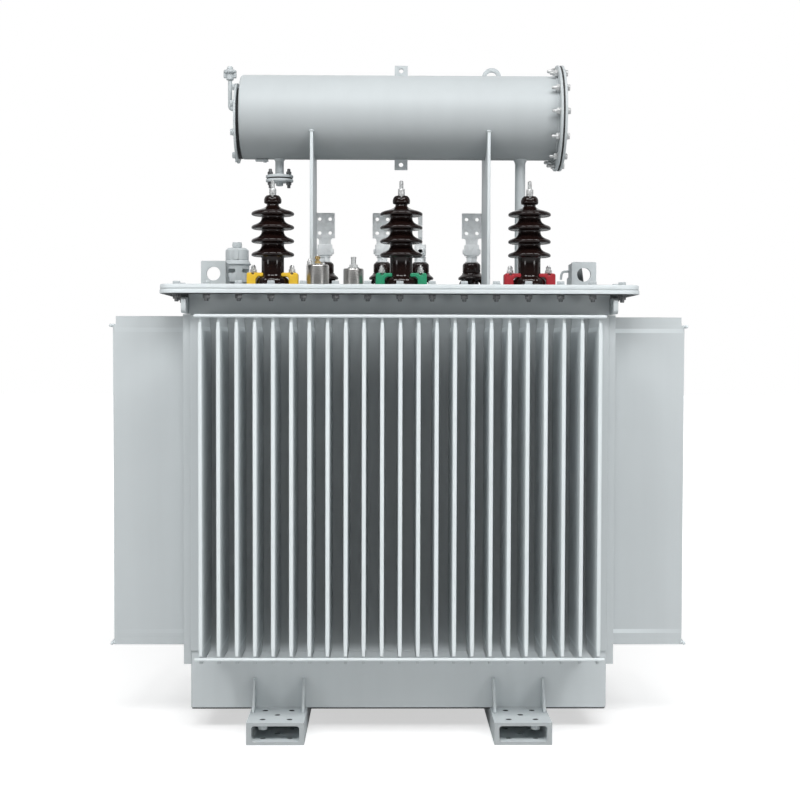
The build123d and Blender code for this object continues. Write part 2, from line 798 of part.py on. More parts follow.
# Vent: a pipe that leaves the left plate, turns up and ends in a capped head
vent_x = plate_x - vent_reach
vent_z = shell_z + vent_rise
with BuildPart() as vent_pipe:
    with BuildLine() as vent_route:
        FilletPolyline(
            (plate_x, shell_y, vent_z),
            (vent_x, shell_y, vent_z),
            (vent_x, shell_y, vent_pipe_top),
            radius=vent_bend,
        )
    with BuildSketch(Plane((plate_x, shell_y, vent_z), x_dir=(0, 1, 0), z_dir=(-1, 0, 0))):
        Circle(vent_pipe_radius)
    sweep()
    with BuildSketch(Plane((vent_x, shell_y, vent_pipe_top))):
        Circle(vent_cap_radius)
    extrude(amount=vent_cap_height)
    chamfer(vent_pipe.faces().sort_by(Axis.Z)[-1].edges(), vent_cap_chamfer)
    with BuildSketch(Plane((vent_x, shell_y, vent_pipe_top + vent_cap_height))):
        Circle(vent_knob_radius)
    extrude(amount=vent_knob_height)
save(vent_pipe, "vent_pipe")

# Saddles: upright plates hollowed to the drum, with horns that reach up beside it
horn_top = shell_z - saddle_horn_drop
for saddle_x, name in ((saddle_left_x, "left_saddle"), (saddle_right_x, "right_saddle")):
    with BuildPart() as saddle:
        with BuildSketch(Plane((saddle_x, shell_y, 0), x_dir=(0, 1, 0), z_dir=(1, 0, 0))):
            with Locations((0, (horn_top + cover_top) / 2)):
                Rectangle(saddle_width, horn_top - cover_top)
            with Locations((0, shell_z)):
                Circle(shell_radius + saddle_clearance, mode=Mode.SUBTRACT)
        extrude(amount=saddle_thickness / 2, both=True)
    save(saddle, name)

# Oil pipe from the cover to the underside of the drum, on a round foot
with BuildPart() as oil_pipe:
    with BuildSketch(Plane((oil_pipe_x, shell_y, cover_top))):
        Circle(oil_pipe_foot_radius)
    extrude(amount=oil_pipe_foot_height)
    with BuildSketch(Plane((oil_pipe_x, shell_y, cover_top))):
        Circle(oil_pipe_radius)
    extrude(amount=shell_bottom - cover_top)
save(oil_pipe, "oil_pipe")

# Breather branch: a stub with its flange, a gasket and a blank with a plug
breather_flange_base = breather_top - breather_flange_thickness
breather_blank_top = breather_flange_base - breather_gasket_thickness
with BuildPart() as breather_stub:
    with BuildSketch(Plane((breather_x, shell_y, breather_flange_base))):
        Circle(breather_flange_radius)
    extrude(amount=breather_flange_thickness)
    with BuildSketch(Plane((breather_x, shell_y, breather_flange_base))):
        Circle(breather_pipe_radius)
    extrude(amount=shell_bottom - breather_flange_base)
save(breather_stub, "breather_stub")

with BuildPart() as breather_gasket:
    with BuildSketch(Plane((breather_x, shell_y, breather_blank_top))):
        Circle(breather_flange_radius - breather_gasket_inset)
    extrude(amount=breather_gasket_thickness)
save(breather_gasket, "breather_gasket")

with BuildPart() as breather_blank:
    with BuildSketch(Plane((breather_x, shell_y, breather_blank_top))):
        Circle(breather_flange_radius)
    extrude(amount=-breather_blank_thickness)
    with BuildSketch(Plane((breather_x, shell_y, breather_blank_top - breather_blank_thickness))):
        Circle(breather_plug_radius)
    extrude(amount=-breather_plug_height)
save(breather_blank, "breather_blank")

# Lugs on the drum: a holed plate above and below its middle, and a half-ring eye
with BuildPart() as conservator_lugs:
    for end, edge in ((1, shell_top), (-1, shell_bottom)):
        lug_middle = edge + end * cap_lug_height / 2
        with BuildSketch(facing(cap_lug_x, shell_y, lug_middle, (0, -1, 0))):
            Rectangle(cap_lug_width, cap_lug_height)
            Circle(cap_lug_hole_radius, mode=Mode.SUBTRACT)
        extrude(amount=cap_lug_thickness / 2, both=True)
    with BuildSketch(facing(eye_x, shell_y, shell_top - eye_sink, (0, -1, 0))):
        Circle(eye_outer_radius)
        Circle(eye_inner_radius, mode=Mode.SUBTRACT)
        with Locations((0, eye_sink - eye_outer_radius)):
            Rectangle(2 * eye_outer_radius, 2 * eye_outer_radius, mode=Mode.SUBTRACT)
    extrude(amount=eye_thickness / 2, both=True)
save(conservator_lugs, "conservator_lugs")
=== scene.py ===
import json
import bmesh
import bpy
import numpy as np
from mathutils import Matrix, Vector
from mathutils.geometry import tessellate_polygon


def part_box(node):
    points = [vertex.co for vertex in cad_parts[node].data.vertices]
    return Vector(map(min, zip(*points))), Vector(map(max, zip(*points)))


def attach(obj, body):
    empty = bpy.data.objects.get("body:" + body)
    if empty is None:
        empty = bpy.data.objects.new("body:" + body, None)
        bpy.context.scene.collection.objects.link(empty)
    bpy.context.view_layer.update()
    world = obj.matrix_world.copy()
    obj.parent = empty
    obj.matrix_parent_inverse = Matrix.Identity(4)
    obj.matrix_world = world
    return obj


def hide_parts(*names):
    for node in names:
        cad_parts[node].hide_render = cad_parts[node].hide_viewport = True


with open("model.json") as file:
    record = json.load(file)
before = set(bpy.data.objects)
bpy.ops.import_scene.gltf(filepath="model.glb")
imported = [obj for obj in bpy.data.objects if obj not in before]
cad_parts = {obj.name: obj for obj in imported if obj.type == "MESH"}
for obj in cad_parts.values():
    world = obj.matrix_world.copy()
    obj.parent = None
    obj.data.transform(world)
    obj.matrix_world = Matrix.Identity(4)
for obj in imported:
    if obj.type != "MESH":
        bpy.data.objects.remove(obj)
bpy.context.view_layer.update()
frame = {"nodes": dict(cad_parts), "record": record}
mm = 0.001
xAxis, yAxis, zAxis = np.eye(3)


# corners of a CAD piece in millimetres, which every shape below is in until addPiece
def boxOf(node):
    return np.array([list(corner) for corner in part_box(node)]) / mm


# middle of the underside of a CAD piece
def baseOf(node):
    low, high = boxOf(node)
    return np.array([*(low + high)[:2] / 2, low[2]])


tankLow, tankHigh = boxOf("tank_body")
coverLow, coverHigh = boxOf("cover_plate")
coverTop = coverHigh[2]
print("frame loaded, cover at", round(coverTop, 1), "mm")


# a shape is a pair of arrays, its points and its faces; -1 fills a triangle's fourth place

# quads between neighbouring rows of a grid of points; the last column joins the first
def gridFaces(rows, cols):
    row, col = np.meshgrid(np.arange(rows - 1), np.arange(cols), indexing="ij")
    here = row * cols + col
    beside = row * cols + (col + 1) % cols
    return np.stack([here, beside, beside + cols, here + cols], -1).reshape(-1, 4)


# rings of one profile carried along a path: neighbours are joined, and each end is closed on its middle point
def carriedShell(rings):
    count, sides = rings.shape[:2]
    points = np.concatenate([rings.reshape(-1, 3), rings[:1].mean(1), rings[-1:].mean(1)])
    here = np.arange(sides)
    beside = (here + 1) % sides
    last = (count - 1) * sides
    none = np.full(sides, -1)
    start = np.stack([beside, here, np.full(sides, count * sides), none], -1)
    end = np.stack([here + last, beside + last, np.full(sides, count * sides + 1), none], -1)
    return points, np.concatenate([gridFaces(count, sides), start, end])


# angles of a full turn in equal steps
def turns(count):
    return np.arange(count) * 2 * np.pi / count


# surface of revolution: every (radius, height) of the profile goes round the upright axis;
# swell scales the radius and lift raises the height, by row and by turn
def turned(profile, sides=40, swell=1.0, lift=0.0):
    angle = turns(sides)
    radius, height = np.asarray(profile, float).T
    wide = radius[:, None] * np.broadcast_to(swell, (len(radius), sides))
    high = height[:, None] + np.broadcast_to(lift, (len(radius), sides))
    return carriedShell(np.stack([wide * np.cos(angle), wide * np.sin(angle), high], -1))


# circle carried along a path, square to the path's own bend; its radius may change on the way
def tube(path, radius, sides=12):
    path = np.asarray(path, float)
    ahead = np.gradient(path, axis=0)
    ahead /= np.linalg.norm(ahead, axis=1, keepdims=True)
    reference = np.eye(3)[np.argmin(np.abs(ahead).max(0))]
    aside = np.cross(reference, ahead)
    aside /= np.linalg.norm(aside, axis=1, keepdims=True)
    upward = np.cross(ahead, aside)
    angle = turns(sides)
    reach = np.broadcast_to(radius, len(path))[:, None, None]
    ring = aside[:, None] * np.cos(angle)[:, None] + upward[:, None] * np.sin(angle)[:, None]
    return carriedShell(path[:, None] + reach * ring)


# outline with rounded corners: each arc is a weighted parabola between its two tangent points
def rounded(corners, radius, steps=5, closed=True):
    corner = np.asarray(corners, float)
    back, forth = np.roll(corner, 1, 0) - corner, np.roll(corner, -1, 0) - corner
    backLength, forthLength = np.linalg.norm(back, axis=1), np.linalg.norm(forth, axis=1)
    back, forth = back / backLength[:, None], forth / forthLength[:, None]
    half = np.arccos(np.clip(-(back * forth).sum(1), -1, 1)) / 2
    longest = 0.48 * np.minimum(backLength, forthLength)
    trim = np.minimum(np.broadcast_to(radius, len(corner)) * np.tan(half), longest)[:, None]
    weight = np.cos(half)[:, None, None]
    step = np.linspace(0, 1, steps)[None, :, None]
    first, last = corner + back * trim, corner + forth * trim
    blend = (1 - step) ** 2, 2 * weight * step * (1 - step), step ** 2
    arc = (blend[0] * first[:, None] + blend[1] * corner[:, None] + blend[2] * last[:, None]) / sum(blend)
    if not closed:
        return np.concatenate([corner[:1], arc[1:-1].reshape(-1, corner.shape[1]), corner[-1:]])
    return arc.reshape(-1, corner.shape[1])


def boxOutline(low, high, radius, steps=9):
    (left, front), (right, back) = low[:2], high[:2]
    return rounded([(left, front), (right, front), (right, back), (left, back)], radius, steps)


# rectangle about the origin
def oblong(width, deep, radius, steps=4):
    return boxOutline((-width / 2, -deep / 2), (width / 2, deep / 2), radius, steps)


def circle(x, y, radius, sides=24):
    angle = turns(sides)
    return np.stack([x + radius * np.cos(angle), y + radius * np.sin(angle)], -1)


# flat plate: a quarter-round edge is carried round the outline and, the other way about, round the holes,
# and both faces are filled in
def plate(outline, thickness, edge, holes=(), steps=3):
    turn = np.linspace(0, np.pi / 2, steps)
    inset = edge * (1 - np.sin(turn))
    level = edge * (1 - np.cos(turn))
    inset, level = np.concatenate([inset, inset[::-1]]), np.concatenate([level, thickness - level[::-1]])
    shapes, flats, lower, upper, start = [], [], [], [], 0
    for loop in [np.asarray(outline)] + [np.asarray(hole)[::-1] for hole in holes]:
        back, forth = loop - np.roll(loop, 1, 0), np.roll(loop, -1, 0) - loop
        back /= np.linalg.norm(back, axis=1, keepdims=True)
        forth /= np.linalg.norm(forth, axis=1, keepdims=True)
        inward = np.stack([-back[:, 1] - forth[:, 1], back[:, 0] + forth[:, 0]], -1)
        inward /= (1 + (back * forth).sum(1))[:, None]
        flat = loop[None] + inset[:, None, None] * inward[None]
        rings = np.concatenate([flat, np.broadcast_to(level[:, None, None], flat.shape[:2] + (1,))], -1)
        shapes.append((rings.reshape(-1, 3), gridFaces(len(level), len(loop))))
        flats.append(flat[0])
        lower.append(start + np.arange(len(loop)))
        start += rings.shape[0] * len(loop)
        upper.append(start - len(loop) + np.arange(len(loop)))
    points, sides = joined(*shapes)
    inner, lower, upper = np.concatenate(flats), np.concatenate(lower), np.concatenate(upper)
    filled = np.array(tessellate_polygon([[Vector((x, y, 0)) for x, y in loop] for loop in flats]))
    a, b, c = inner[filled[:, 0]], inner[filled[:, 1]], inner[filled[:, 2]]
    backward = (b[:, 0] - a[:, 0]) * (c[:, 1] - a[:, 1]) - (b[:, 1] - a[:, 1]) * (c[:, 0] - a[:, 0]) < 0
    filled[backward] = filled[backward][:, ::-1]
    caps = np.concatenate([lower[filled[:, ::-1]], upper[filled]])
    return points, np.concatenate([sides, np.concatenate([caps, np.full((len(caps), 1), -1)], 1)])


# joins points that lie together, and drops the faces that collapse with them
def welded(shape, grain=0.001):
    points, faces = shape
    key = np.round(points / grain).astype(np.int64)
    first, index = np.unique(key, axis=0, return_index=True, return_inverse=True)[1:]
    faces = np.where(faces < 0, -1, index.ravel()[faces])
    triangle = faces[:, 3] < 0
    three, four = faces[triangle], faces[~triangle]
    distinct = (three[:, 0] != three[:, 1]) & (three[:, 1] != three[:, 2]) & (three[:, 2] != three[:, 0])
    same = four == np.roll(four, -1, axis=1)
    kept = [three[distinct], four[same.sum(1) == 0]]
    for corner in range(4):
        slim = np.delete(four[(same.sum(1) == 1) & same[:, corner]], corner, axis=1)
        kept.append(np.concatenate([slim, np.full((len(slim), 1), -1)], 1))
    return points[first], np.concatenate(kept)


def joined(*shapes):
    offsets = np.cumsum([0] + [len(points) for points, faces in shapes])
    faces = [np.where(f < 0, -1, f + offset) for (points, f), offset in zip(shapes, offsets)]
    return np.concatenate([points for points, f in shapes]), np.concatenate(faces)


# moves a shape so that its own X runs along across and its own Z along up
def laid(shape, origin=(0, 0, 0), across=xAxis, up=zAxis):
    across, up = np.asarray(across, float), np.asarray(up, float)
    turn = np.stack([across, np.cross(up, across), up])
    return shape[0] @ turn + np.asarray(origin, float), shape[1]


def repeated(shape, spots):
    spots = np.atleast_2d(np.asarray(spots, float))
    points, faces = shape
    every = (points[None] + spots[:, None]).reshape(-1, 3)
    shift = (np.arange(len(spots)) * len(points))[:, None, None]
    return every, np.where(faces[None] < 0, -1, faces[None] + shift).reshape(-1, 4)


def stacked(*layers):
    return joined(*[(shape[0] + height * zAxis, shape[1]) for shape, height in layers])


# hexagon ring over a circle ring: the corners at both ends are cut by the usual chamfer
def hexBlock(flats, height, chamfer=0.12, sides=24):
    angle = turns(sides)
    hexagon = flats / 2 / np.cos((angle + np.pi / 6) % (np.pi / 3) - np.pi / 6)
    disc = np.full(sides, flats / 2 * 0.97)
    rows = [(disc, 0), (hexagon, chamfer * height), (hexagon, (1 - chamfer) * height), (disc, height)]
    rings = [np.stack([r * np.cos(angle), r * np.sin(angle), np.full(sides, z)], -1) for r, z in rows]
    return carriedShell(np.stack(rings))


def washer(radius, thickness):
    edge = 0.25 * thickness
    inner, upper = radius - edge, thickness - edge
    return turned([(inner, 0), (radius, edge), (radius, upper), (inner, thickness)], 24)


def stud(radius, length, tip=2.0):
    return turned([(radius, 0), (radius, length - tip), (radius - 0.6 * tip, length)], 16)


def disc(radius, thickness, edge=1.4, sides=96):
    soft = 0.3 * edge
    return turned([(radius - edge, 0), (radius - soft, soft), (radius, edge), (radius, thickness - edge),
                   (radius - soft, thickness - soft), (radius - edge, thickness)], sides)


fastenerKinds = {"washer": washer, "hex": hexBlock, "stud": stud, "turned": turned}


# fastener from rows of a kind, the height of its foot and its sizes, across and then up
def fastener(rows):
    return stacked(*[(fastenerKinds[kind](*sizes), height) for kind, height, *sizes in rows])


# squashed ball of weld metal: an ellipse turned about the upright axis, cut short of its poles
def weldDab(wide, high, short, steps, sides):
    turn = np.linspace(-np.pi / 2 + short, np.pi / 2 - short, steps)
    return turned(np.stack([wide * np.cos(turn), high * np.sin(turn)], -1), sides)


# weld bead: a circle carried along a path, whose radius swells and shrinks with the distance run
def weldBead(path, radius=3.0, ripple=5.5, grain=2.2, swell=0.13):
    path = np.asarray(path, float)
    run = np.concatenate([[0], np.cumsum(np.linalg.norm(np.diff(path, axis=0), axis=1))])
    even = np.linspace(0, run[-1], max(4, int(run[-1] / grain)))
    route = np.stack([np.interp(even, run, path[:, k]) for k in range(3)], -1)
    return tube(route, radius * (1 + swell * np.cos(2 * np.pi * even / ripple)), 8)


# pale is painted light and shade per point that the grey paint reads, 0 for plain paint
def addPiece(name, shape, finish, hides=(), sharp=38, pale=None):
    points, faces = shape
    corners = np.where(faces[:, 3] < 0, 3, 4)
    mesh = bpy.data.meshes.new(name)
    mesh.vertices.add(len(points))
    mesh.vertices.foreach_set("co", (points * mm).astype(np.float32).ravel())
    mesh.loops.add(int(corners.sum()))
    mesh.loops.foreach_set("vertex_index", faces[faces >= 0].astype(np.int32))
    mesh.polygons.add(len(faces))
    mesh.polygons.foreach_set("loop_start", (np.cumsum(corners) - corners).astype(np.int32))
    mesh.update(calc_edges=True)
    mesh.validate()
    if pale is not None:
        mesh.attributes.new("paintedShadingTone", "FLOAT", "POINT").data.foreach_set("value", pale.astype(np.float32))
    return settle(name, mesh, finish, hides, sharp)


def settle(name, mesh, finish, hides, sharp):
    mesh.polygons.foreach_set("use_smooth", np.ones(len(mesh.polygons), bool))
    mesh.set_sharp_from_angle(angle=np.radians(sharp))
    mesh.materials.append(finishes[finish])
    piece = bpy.data.objects.new(name, mesh)
    bpy.context.collection.objects.link(piece)
    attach(piece, "root")
    if hides:
        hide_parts(*hides)
    return piece


# merged copy of a CAD piece whose sharp edges a bevel rounds over;
# tones are painted light and shade on its faces that look along X, Y and Z
def softEdged(node, width, tones=None, sharp=30):
    work = bmesh.new()
    work.from_mesh(frame["nodes"][node].data)
    bmesh.ops.remove_doubles(work, verts=work.verts, dist=1e-6)
    bmesh.ops.dissolve_limit(work, angle_limit=0.005, verts=work.verts, edges=work.edges)
    mesh = bpy.data.meshes.new(node + "_soft")
    work.to_mesh(mesh)
    work.free()
    mesh.materials.clear()
    if tones is not None:
        normal = np.zeros(3 * len(mesh.polygons), np.float32)
        mesh.polygons.foreach_get("normal", normal)
        pale = np.array(tones, np.float32)[np.abs(normal.reshape(-1, 3)).argmax(1)]
        mesh.attributes.new("paintedShadingTone", "FLOAT", "FACE").data.foreach_set("value", pale)
    piece = settle(node + "_soft", mesh, "grey_paint", [node], sharp)
    bevel = piece.modifiers.new("roundedEdges", "BEVEL")
    bevel.width = width * mm
    bevel.segments = 2
    bevel.limit_method = "ANGLE"
    bevel.angle_limit = np.radians(sharp)
    bevel.use_clamp_overlap = True


# each input is linked where it is given a socket, and set where it is given a value
def feed(tree, node, inputs):
    for label, value in inputs.items():
        if isinstance(value, bpy.types.NodeSocket):
            tree.links.new(value, node.inputs[label])
        else:
            node.inputs[label].default_value = value


def addNode(tree, kind, inputs=None, **settings):
    node = tree.nodes.new("ShaderNode" + kind)
    for label, value in settings.items():
        setattr(node, label, value)
    feed(tree, node, inputs or {})
    return node


def maths(tree, operation, *values):
    return addNode(tree, "Math", dict(enumerate(values)), operation=operation).outputs[0]


def noiseNode(tree, place, scale, detail=2.0, stretch=None):
    if stretch is not None:
        place = addNode(tree, "Mapping", {"Vector": place, "Scale": stretch}).outputs["Vector"]
    return addNode(tree, "TexNoise", {"Vector": place, "Scale": scale, "Detail": detail}).outputs["Fac"]


def ranged(tree, value, low, high, start=0.3, stop=0.7):
    inputs = {"Value": value, "From Min": start, "From Max": stop, "To Min": low, "To Max": high}
    return addNode(tree, "MapRange", inputs).outputs["Result"]


def toned(tree, colour, factor):
    return addNode(tree, "VectorMath", {0: colour, "Scale": factor}, operation="SCALE").outputs["Vector"]


def newMaterial(name):
    material = bpy.data.materials.new(name)
    material.use_nodes = True
    tree = material.node_tree
    return material, tree, tree.nodes["Principled BSDF"], addNode(tree, "TexCoord").outputs["Object"]


# group that takes a place, a colour and named numbers, and puts out a colour, a roughness and a height
def newGroup(name, numbers):
    group = bpy.data.node_groups.new(name, "ShaderNodeTree")
    sockets = [("INPUT", "Place", "Vector"), ("INPUT", "Colour", "Color")]
    sockets += [("INPUT", label, "Float") for label in numbers]
    sockets += [("OUTPUT", "Colour", "Color"), ("OUTPUT", "Roughness", "Float"),
                ("OUTPUT", "Height", "Float")]
    for side, label, kind in sockets:
        socket = group.interface.new_socket(name=label, in_out=side, socket_type="NodeSocket" + kind)
        if label in numbers:
            socket.default_value = numbers[label]
    return group, group.nodes.new("NodeGroupInput").outputs, group.nodes.new("NodeGroupOutput")


# sprayed coat: broad drift and faint upright runs in the tone, a wandering gloss, fine orange peel as height
def makeSprayedCoat():
    coat = {"drift": 2.2, "driftShare": 0.7, "runs": (26, 26, 1.6), "runShare": 0.3, "patches": 9.0,
            "gloss": (0.5, 0.62)}
    group, given, result = newGroup("sprayedCoat", {"Low Tone": 0.95, "High Tone": 1.03, "Peel": 420.0})
    place = given["Place"]
    drift = maths(group, "MULTIPLY", noiseNode(group, place, coat["drift"], 3.0), coat["driftShare"])
    runs = noiseNode(group, place, 1.0, 4.0, coat["runs"])
    mixed = maths(group, "MULTIPLY_ADD", runs, coat["runShare"], drift)
    tone = ranged(group, mixed, given["Low Tone"], given["High Tone"])
    patches = noiseNode(group, place, coat["patches"], 3.0)
    feed(group, result, {"Colour": toned(group, given["Colour"], tone),
                         "Roughness": ranged(group, patches, *coat["gloss"]),
                         "Height": noiseNode(group, place, given["Peel"], 1.0)})
    return group


# metal skin: spangled cells vary the tone, drawn lines the gloss, and fine grain is the height
def makeMetalSkin():
    skin = {"lines": (60, 60, 2400), "grain": 700.0}
    group, given, result = newGroup("metalSkin", {"Cells": 160.0, "Low Tone": 0.85, "High Tone": 1.08,
                                                  "Low Gloss": 0.25, "High Gloss": 0.45})
    place = given["Place"]
    cells = addNode(group, "TexVoronoi", {"Vector": place, "Scale": given["Cells"]}).outputs["Color"]
    grey = addNode(group, "SeparateColor", {"Color": cells}).outputs["Red"]
    tone = ranged(group, grey, given["Low Tone"], given["High Tone"])
    lines = noiseNode(group, place, 1.0, 2.0, skin["lines"])
    feed(group, result, {"Colour": toned(group, given["Colour"], tone),
                         "Roughness": ranged(group, lines, given["Low Gloss"], given["High Gloss"]),
                         "Height": noiseNode(group, place, skin["grain"], 2.0)})
    return group


sprayedCoat = makeSprayedCoat()
metalSkin = makeMetalSkin()
reliefDepth = 0.0004


def bumped(tree, strength, distance, height):
    inputs = {"Strength": strength, "Distance": distance, "Height": height}
    return addNode(tree, "Bump", inputs).outputs["Normal"]


# material of one shared skin: values go to the skin, plain ones straight to the shader,
# and the painted light and shade stored on a mesh lifts the tone from 1 to 1 + fold
def dressed(name, group, colour, values, bump, fold=None, **plain):
    material, tree, shader, place = newMaterial(name)
    skin = addNode(tree, "Group", {"Place": place, "Colour": (*colour, 1), **values}, node_tree=group).outputs
    normal = bumped(tree, bump, reliefDepth, skin["Height"])
    colour = skin["Colour"]
    if fold is not None:
        stored = addNode(tree, "Attribute", attribute_name="paintedShadingTone").outputs["Fac"]
        colour = toned(tree, colour, maths(tree, "MULTIPLY_ADD", stored, fold, 1.0))
    feed(tree, shader, {"Base Color": colour, "Roughness": skin["Roughness"], "Normal": normal})
    feed(tree, shader, {label.replace("_", " "): value for label, value in plain.items()})
    return material


glaze = {"mottle": (14.0, 4.0), "dark": (0.006, 0.0032, 0.003), "light": (0.018, 0.0075, 0.006),
         "patches": 30.0, "gloss": (0.07, 0.14), "ripple": 55.0, "rippleDepth": 0.0008, "rippleShare": 0.12,
         "specular": 0.4}
rubber = {"mottle": (120.0, 3.0), "dark": (0.012, 0.012, 0.013), "light": (0.03, 0.03, 0.031),
          "patches": 60.0, "gloss": (0.6, 0.8)}


# mottled skin: the colour runs between two tones with one noise, the gloss with another; glaze also ripples
def makeMottled(name, skin):
    material, tree, shader, place = newMaterial(name)
    ramp = addNode(tree, "ValToRGB", {"Fac": noiseNode(tree, place, *skin["mottle"])})
    for element, shade in zip(ramp.color_ramp.elements, ("dark", "light")):
        element.color = (*skin[shade], 1)
    gloss = ranged(tree, noiseNode(tree, place, skin["patches"]), *skin["gloss"])
    feed(tree, shader, {"Base Color": ramp.outputs["Color"], "Roughness": gloss})
    if "ripple" in skin:
        ripple = noiseNode(tree, place, skin["ripple"])
        normal = bumped(tree, skin["rippleShare"], skin["rippleDepth"], ripple)
        feed(tree, shader, {"Normal": normal, "Specular IOR Level": skin["specular"]})
    return material


# fold is how strongly the painted light and shade stored on a mesh changes the grey paint's tone
greyPaint = {"colour": (0.552, 0.592, 0.606), "peel": 0.05, "fold": 0.3, "specular": 0.3}
brightPaints = {"yellow": (0.76, 0.48, 0.022), "green": (0.010, 0.27, 0.13), "red": (0.37, 0.009, 0.019)}
evenTin = {"Cells": 90.0, "Low Tone": 0.95, "High Tone": 1.03, "Low Gloss": 0.5, "High Gloss": 0.6}
evenSteel = {"Cells": 60.0, "Low Tone": 0.96, "High Tone": 1.02, "Low Gloss": 0.26, "High Gloss": 0.36}
spangle = {"Cells": 260.0, "Low Gloss": 0.32, "High Gloss": 0.5}
finishes = {
    "grey_paint": dressed("greyPaint", sprayedCoat, greyPaint["colour"], {}, greyPaint["peel"],
                          greyPaint["fold"], Specular_IOR_Level=greyPaint["specular"]),
    "zinc_plate": dressed("zincPlate", metalSkin, (0.66, 0.67, 0.67), spangle, 0.1, Metallic=0.7),
    "tinned_metal": dressed("tinnedMetal", metalSkin, (0.83, 0.855, 0.865), evenTin, 0.08, Metallic=0.15),
    "stainless": dressed("stainless", metalSkin, (0.60, 0.59, 0.575), evenSteel, 0.04, Metallic=1.0),
    "brown_porcelain": makeMottled("brownGlaze", glaze),
    "gasket_rubber": makeMottled("blackRubber", rubber),
}
for hue, colour in brightPaints.items():
    paint = dressed(hue + "Paint", sprayedCoat, colour, {"Peel": 800.0}, greyPaint["peel"], Coat_Weight=0.2)
    finishes[hue + "_paint"] = paint
darkSteel = dressed("darkSteel", metalSkin, (0.2, 0.205, 0.21), {"Cells": 260.0}, 0.08, Metallic=0.6)
brass = dressed("brassFitting", metalSkin, (0.60, 0.44, 0.20), {"Cells": 120.0}, 0.08, Metallic=1.0)

for subpart in frame["record"]["subparts"]:
    node = frame["nodes"][subpart["node"]]
    node.data.materials.clear()
    node.data.materials.append(finishes[subpart["material_slot"]])
print("finishes ready")


finWall = {
    "bottom": 224, "top": 1143, "pitch": 47.5, "longCount": 23, "sideCount": 9, "longSheet": 7,
    "sideFrame": 20, "thickness": 11, "pressed": 5.5, "pressedTip": 8.5, "notchDepth": 8, "rootRadius": 4,
    "foldRadius": 2.4, "taper": 0.3, "lip": 2.0,
    # distance from the end of a fin, then shares: stands off the sheet, is pressed thin, is notched
    "rows": ((0, 0, 1, 1), (0, 0, 1, 1), (0, 1, 1, 1), (20.5, 1, 1, 1), (22, 1, 0.96, 1), (22, 1, 0.96, 0),
             (24, 1, 0.82, 0), (25, 1, 0.8, 0), (31, 1, 0.76, 0), (32.5, 1, 0.7, 0), (43, 1, 0.05, 0),
             (44.5, 1, 0, 0)),
    # painted shade on the valley floors, and a painted highlight on the pressed creases, set per wall because
    # the lamps differ left and right
    "valleyShade": -1.1, "valleyFade": 20, "valleyReach": 3.5, "creaseFade": 0.2,
    "creaseHighlight": {"front": 0.9, "rear": 0.9, "left": 0.3, "right": 1.4},
}


# folded sheet: the plan outline of a row of fins is carried up the wall; towards both ends the fins thin to a
# pressed strip, their tips are notched for the bars, and beyond them the outline falls back to the flat sheet
def corrugatedWall(face, outward, width, sheet, depth, count, low, high, notchBelow):
    w = finWall
    end, lift, press, back = np.array(w["rows"], float).T
    height = np.concatenate([w["bottom"] + end, w["top"] - end[::-1]])
    height[0], height[-1] = low, high
    rows = len(height)
    lift, press = np.concatenate([lift, lift[::-1]])[:, None], np.concatenate([press, press[::-1]])[:, None]
    back = np.concatenate([back * notchBelow, back[::-1]])[:, None]
    half = w["thickness"] / 2 * (1 - press) + w["pressed"] / 2 * press
    tipHalf = w["thickness"] / 2 * (1 - press) + w["pressedTip"] / 2 * press
    tip = depth - w["notchDepth"] * back
    fold = np.minimum(w["foldRadius"], 0.9 * tipHalf)
    quarter = np.linspace(0, np.pi / 2, 4)
    rootA = -half - w["taper"] - w["rootRadius"] * (1 - np.sin(quarter))
    rootB = np.repeat(w["rootRadius"] * (1 - np.cos(quarter))[None], rows, 0)
    foldA = -tipHalf + fold * (1 - np.cos(quarter))
    foldB = tip - fold * (1 - np.sin(quarter))
    across = np.concatenate([rootA, foldA, -foldA[:, ::-1], -rootA[:, ::-1]], 1)
    outer = np.concatenate([rootB, foldB, foldB[:, ::-1], rootB[:, ::-1]], 1) * lift
    middle = (np.arange(count) - (count - 1) / 2) * w["pitch"]
    across = (middle[None, :, None] + across[:, None]).reshape(rows, -1)
    outer = np.tile(outer, (1, count))
    edge = np.linspace(0, np.pi / 2, 3)
    lipA = np.repeat((w["lip"] * (1 - np.cos(edge)))[None], rows, 0)
    lipB = np.repeat((-w["lip"] * (1 - np.sin(edge)))[None], rows, 0)
    side = np.full((rows, 1), width / 2)
    across = np.concatenate([-side, -side + lipA, across, side - lipA[:, ::-1], side], 1)
    outer = np.concatenate([0 * side - sheet, lipB, outer, lipB[:, ::-1], 0 * side - sheet], 1)
    along = np.array([-outward[1], outward[0], 0.0])
    rings = face + across[..., None] * along + (outer[..., None] + sheet) * outward
    rings[..., 2] = height[:, None]
    return welded(carriedShell(rings))


# painted light and shade of a wall's points: a painted highlight over the fold at a fin's tip and along the
# step of its pressed ends, and painted shade on the floor of the valleys between the fins
def paintedFinShading(points, axis, depth, creaseHighlight):
    w = finWall
    reach, height = np.abs(points[:, axis]), points[:, 2]
    out = reach - reach.max()
    fromEnd = np.minimum(height - w["bottom"], w["top"] - height)
    floor = w["valleyReach"] - depth
    tip = np.clip(out / w["foldRadius"] + 1, 0, 1)
    step = np.interp(fromEnd, [row[0] for row in w["rows"][-4:]], (0, 1, 1, 0))
    step *= np.where(out > floor, np.interp(out / depth, (-1, 0), (creaseHighlight, w["creaseFade"] * creaseHighlight)), 0)
    inside = np.abs(points[:, 1 - axis]) < np.abs(points[out > -1, 1 - axis]).max()
    valleyShade = np.where(inside & (out < floor), w["valleyShade"] * np.clip(fromEnd / w["valleyFade"], 0, 1), 0)
    return np.where(valleyShade < 0, valleyShade, np.maximum(tip, step))


